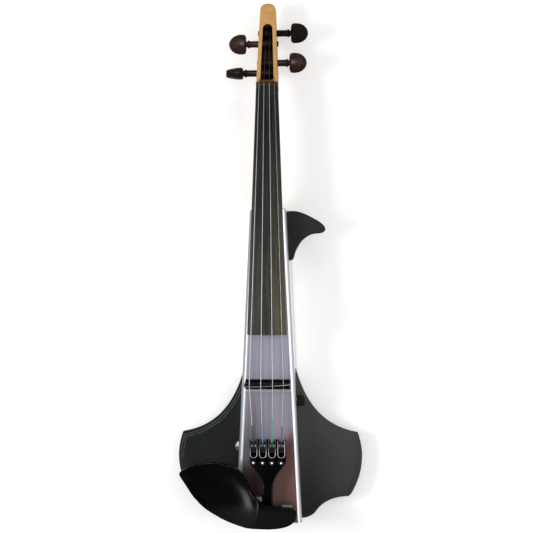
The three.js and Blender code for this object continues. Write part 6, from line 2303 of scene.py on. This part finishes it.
def make_fin():
    wings = sizes("wings")
    low, high = BOX["fin"]
    size = high.y - low.y
    wall = body_half(high.y)
    spots = [spot(wall + wings.fin_reach * u, high.y - size * v) for u, v in FIN_OUTLINE_SHARES]
    outline = [spot(wall / 2, high.y), *smooth_line(spots, 4), spot(wall / 2, low.y)]
    bm = prism(outline, low.z, high.z)
    rims = [edge for edge in bm.edges if abs(edge.verts[0].co.z - edge.verts[1].co.z) < TINY]
    round_edges(bm, rims, wings.fin_edge, 5)
    bm = cut(bm, wall_space(), join(*[screw_room(f"fin_screw_{k}") for k in (1, 2)]))
    finish_piece("fin_covered", bm, "grained_black", "fin", sharp=50)


class VIOLIN_OT_fin(bpy.types.Operator):
    """Makes the upper fin"""

    bl_idname = "violin.fin"
    bl_label = "Fin"

    def execute(self, context):
        make_fin()
        return {"FINISHED"}


# Controls and electrics

def make_controls():
    controls = sizes("controls")
    gap = sizes("body").gap
    low, high = BOX["output_jack"]
    inside = -inside_half(high.y)
    case = soften(block(inside, high.x, low.y, high.y, low.z, high.z), 0.8 * MM, 40, 3)
    bush = controls.bush
    size = inside - low.x + MM
    pitch = 0.6 * MM
    rows = [(0, 0), (0, bush - 0.5 * MM), (0.35 * MM, bush - 0.1 * MM)]
    along = pitch
    while along < size - 2.6 * MM:
        rows += [(along, bush), (along + pitch / 2, bush - pitch / 2)]
        along += pitch
    rows += [(along, bush), (size, bush), (size, 0)]
    mouth = face_middle("output_jack", 0)
    jack = combine(case, lathe(rows, mouth, (1, 0, 0), 64), "UNION")
    before = spot(MM, 0, 0)
    bore = rod_x(mouth - before, high.x - low.x - MM, controls.bore, count=48)
    lip = rod_x(mouth - before / 100, 0.51 * MM, controls.bore + 0.4 * MM, controls.bore, count=48)
    finish_piece("threaded_jack", cut(jack, bore, lip), "gold", "output_jack")

    low, high = BOX["jack_nut"]
    start = face_middle("jack_nut", 0)
    size = high.x - low.x
    nut = rod_x(start, size, controls.nut, count=6)
    past = 0.001 * MM
    dome = [
        (-past, 0), (-past, controls.nut * 0.86), (size * 0.3, controls.nut * 1.01),
        (size * 0.7, controls.nut * 1.01), (size + past, controls.nut * 0.86),
        (size + past, 0),
    ]
    nut = combine(nut, lathe(dome, start, (1, 0, 0), 64), "INTERSECT")
    bore = rod_x(start - 2 * before, size + 4 * MM, bush + gap, count=48)
    finish_piece("hex_nut", cut(nut, bore), "gold", "jack_nut")

    low, high = BOX["volume_knob"]
    at = JOINT_AT["volume_turn"]
    knob_start = high.x - 8.2 * MM
    radius = controls.knob
    end = radius * 0.94
    edge = controls.knob_edge
    shaft = knob_start - low.x
    size = high.x - low.x
    rows = [
        (0, 0), (0, controls.pot_shaft - 0.3 * MM), (0.3 * MM, controls.pot_shaft),
        (shaft, controls.pot_shaft), (shaft, radius - 0.4 * MM), (shaft + 0.4 * MM, radius),
        (shaft + 1.4 * MM, radius), (shaft + 1.8 * MM, radius - 0.35 * MM),
        (shaft + 2.3 * MM, radius - 0.1 * MM),
    ]
    for k in range(7):
        turn = pi / 2 * k / 6
        rows.append((size - edge + edge * sin(turn), end - edge + edge * cos(turn)))
    rows += [(size - 0.35 * MM, end * 0.72), (size - 0.4 * MM, 0)]
    knob = lathe(rows, spot(low.x, at.y, at.z), (1, 0, 0), 72)
    line = block(
        high.x - MM, high.x + MM, at.y - 0.5 * MM, at.y + 0.5 * MM,
        at.z + radius * 0.3, at.z + radius + MM,
    )
    finish_piece("turned_knob", cut(knob, line), "brown_knob", "volume_knob")
    refined("volume_pot", 0.35 * MM)


class VIOLIN_OT_controls(bpy.types.Operator):
    """Makes the output jack, its nut, the volume knob and its potentiometer"""

    bl_idname = "violin.controls"
    bl_label = "Jack and volume"

    def execute(self, context):
        make_controls()
        return {"FINISHED"}


def make_electrics():
    low, high = BOX["preamp_board"]
    refined("preamp_board", 0.2 * MM, 50)
    chips = []
    for x, y, wide, long, tall in (
        (-11, 27, 5, 9, 1.8), (4, 30, 4, 7, 1.6), (12, 24, 3, 3, 2.2), (-4, 20, 2.4, 4.2, 1.4),
    ):
        part = block(
            (x - wide / 2) * MM, (x + wide / 2) * MM, low.y + (y - long / 2) * MM,
            low.y + (y + long / 2) * MM, high.z, high.z + tall * MM,
        )
        chips.append(soften(part, 0.2 * MM, 50, 2))
    for x, y in ((-15, 14), (-9, 13), (14, 33)):
        rows = [(0, 0), (0, 2.2 * MM), (0.4 * MM, 2.5 * MM), (0.9 * MM, 2.3 * MM)]
        rows += [(5 * MM, 2.5 * MM), (5.4 * MM, 2.2 * MM), (5.4 * MM, 0)]
        chips.append(lathe(rows, spot(x * MM, low.y + y * MM, high.z), count=32))
    chips = join(*chips)
    finish_piece("preamp_components", chips, "satin_black", "preamp_board", covers=False)
    refined("battery", 1.6 * MM, 50, 4, name="battery_cell")
    low, high = BOX["battery"]
    caps = []
    for side, radius in ((-1, 2.9 * MM), (1, 3.6 * MM)):
        at = spot(side * 6.35 * MM, high.y, (low.z + high.z) / 2)
        rows = [(0, 0), (0, radius), (0.9 * MM, radius), (1.2 * MM, radius - 0.3 * MM)]
        rows += [(1.2 * MM, radius - MM), (0.5 * MM, radius - 1.2 * MM), (0.5 * MM, 0)]
        caps.append(lathe(rows, at - spot(0, 1.3 * MM, 0), (0, 1, 0)))
    finish_piece("battery_terminals", join(*caps), "steel", "battery", covers=False)
    finish_piece("lead_harness", merged("wiring_loom"), "nylon", "wiring_loom")


class VIOLIN_OT_electrics(bpy.types.Operator):
    """Makes the circuit board, the battery and the leads"""

    bl_idname = "violin.electrics"
    bl_label = "Board, battery and leads"

    def execute(self, context):
        make_electrics()
        return {"FINISHED"}


# Stage

def soft_lamp(name, place, aim, size, power):
    light = bpy.data.lights.new(name, "AREA")
    light.shape = "RECTANGLE"
    light.size, light.size_y = size
    light.energy = power * sizes("stage").lamp
    lamp = new_object(name, light)
    lamp.location = place
    lamp.rotation_euler = (Vector(aim) - Vector(place)).to_track_quat("-Z", "Y").to_euler()
    return lamp


def shine_lamp(name, group, place, aim, size, power):
    """A lamp that only shows as a gloss, on the pieces of one group"""
    lamp = soft_lamp(name, place, aim, size, power)
    lamp.visible_diffuse = False
    lamp.light_linking.receiver_collection = bpy.data.collections[group]


def lay_floor():
    bm = bmesh.new()
    bmesh.ops.create_grid(bm, x_segments=1, y_segments=1, size=4)
    bmesh.ops.translate(bm, vec=(0, 0, -0.1 * MM), verts=bm.verts)
    floor = new_object("floor", to_mesh(bm, "floor"))
    f = Finish("floor_paint")
    paint = f.tone.floor
    colour = f.blend(f.spread(f.noise(40, 2), 0.3, 0.7), paint, shade(paint, 0.99))
    f.set(colour=colour, rough=0.9, specular=0.0)
    f.feed(f.surface.inputs["Emission Color"], (1, 1, 1))
    across = f.maths("POWER", f.axis("X"), 2)
    along = f.maths("POWER", f.minus(f.axis("Y"), 0.13), 2)
    glow = f.spread(f.maths("SQRT", f.plus(across, along)), 0.35, 1.6, 0.34, 0.62)
    f.feed(f.surface.inputs["Emission Strength"], f.times(f.seen_directly(), glow))
    floor.data.materials.append(f.material)


def light_studio():
    scene = bpy.context.scene
    scene.world = bpy.data.worlds.new("studio")
    sky = Nodes(scene.world)
    background = sky.node("ShaderNodeBackground")
    output = sky.node("ShaderNodeOutputWorld")
    strength = sky.spread(sky.seen_directly(), 0, 1, sizes("stage").sky, 1)
    sky.feed(background.inputs["Color"], (1, 1, 1))
    sky.feed(background.inputs["Strength"], strength)
    sky.feed(output.inputs["Surface"], background.outputs[0])
    centre = (0, 0.1, 0.03)
    soft_lamp("key", (-1.35, 0.1, 1.05), centre, (0.6, 0.5), 16)
    soft_lamp("fill", (1.1, 0.3, 1.3), centre, (1.0, 1.2), 7)
    soft_lamp("head_side", (0.2, 1.5, 1.0), centre, (0.4, 0.4), 3)
    soft_lamp("right_spark", (1.3, -0.1, 1.1), (0, -0.05, 0.05), (0.25, 0.25), 2)
    for group in sorted(set(SHINE_GROUPS.values())):
        bpy.data.collections.new(group)
    cup = (-0.03, -0.12, 0.06)
    for name, group, place, aim, size, power in (
        ("cup_shine", "black_shine", (-1.08, -0.37, 1.16), cup, (0.75, 0.6), 95),
        ("tail_shine", "black_shine", (1.2, -0.25, 0.9), (0, -0.07, 0.06), (0.3, 0.3), 45),
        ("rim_shine", "black_shine", (-0.5, 1.2, 0.6), cup, (0.4, 0.4), 90),
        ("treble_shine", "treble_shine", (0.016, 0.6, 1.62), (0.07, 0.36, 0.04), (0.35, 0.3), 55),
        ("bass_shine", "bass_shine", (-0.25, 0.66, 1.6), (-0.06, 0.39, 0.04), (0.35, 0.3), 65),
    ):
        shine_lamp(name, group, place, aim, size, power)


def place_camera():
    stage = sizes("stage")
    camera = bpy.data.cameras.new("camera")
    camera.lens = stage.lens
    camera.sensor_width = 36
    camera.clip_start, camera.clip_end = 0.01, 50
    eye = Vector(stage.eye)
    back = (eye - Vector(stage.aim)).normalized()
    right = spot(0, 1, 0).cross(back).normalized()
    turned = right * cos(stage.roll) + back.cross(right) * sin(stage.roll)
    view = Matrix((turned, back.cross(turned), back)).transposed().to_4x4()
    view.translation = eye
    holder = new_object("camera", camera)
    holder.matrix_world = view
    bpy.context.scene.camera = holder


class VIOLIN_OT_stage(bpy.types.Operator):
    """Sets the floor, the light and the camera"""

    bl_idname = "violin.stage"
    bl_label = "Stage"

    def execute(self, context):
        lay_floor()
        light_studio()
        place_camera()
        context.scene.view_settings.view_transform = "Standard"
        return {"FINISHED"}


STEPS = (
    VIOLIN_OT_stage, VIOLIN_OT_body, VIOLIN_OT_back, VIOLIN_OT_screws, VIOLIN_OT_neck,
    VIOLIN_OT_fingerboard, VIOLIN_OT_pegs, VIOLIN_OT_strings, VIOLIN_OT_bridge,
    VIOLIN_OT_tailpiece, VIOLIN_OT_tuners, VIOLIN_OT_tail, VIOLIN_OT_chinrest, VIOLIN_OT_wings,
    VIOLIN_OT_fin, VIOLIN_OT_controls, VIOLIN_OT_electrics,
)


class VIOLIN_PT_panel(bpy.types.Panel):
    """Lists the making steps and their sizes"""

    bl_idname = "VIOLIN_PT_panel"
    bl_label = "Electric violin"
    bl_space_type = "VIEW_3D"
    bl_region_type = "UI"
    bl_category = "Violin"

    def draw(self, context):
        for step in STEPS:
            self.layout.operator(step.bl_idname)
        for name, group in GROUPS.items():
            box = self.layout.box()
            box.label(text=group.__doc__)
            for key in group.__annotations__:
                box.prop(getattr(context.scene, name), key)


def register():
    for group in GROUPS.values():
        bpy.utils.register_class(group)
    for name, group in GROUPS.items():
        setattr(bpy.types.Scene, name, PointerProperty(type=group))
    for step in STEPS:
        bpy.utils.register_class(step)
    bpy.utils.register_class(VIOLIN_PT_panel)


def unregister():
    bpy.utils.unregister_class(VIOLIN_PT_panel)
    for step in reversed(STEPS):
        bpy.utils.unregister_class(step)
    for name in reversed(GROUPS):
        delattr(bpy.types.Scene, name)
    for group in reversed(GROUPS.values()):
        bpy.utils.unregister_class(group)


def main():
    register()
    for step in STEPS:
        space, name = step.bl_idname.split(".")
        getattr(getattr(bpy.ops, space), name)()


if __name__ == "__main__":
    main()
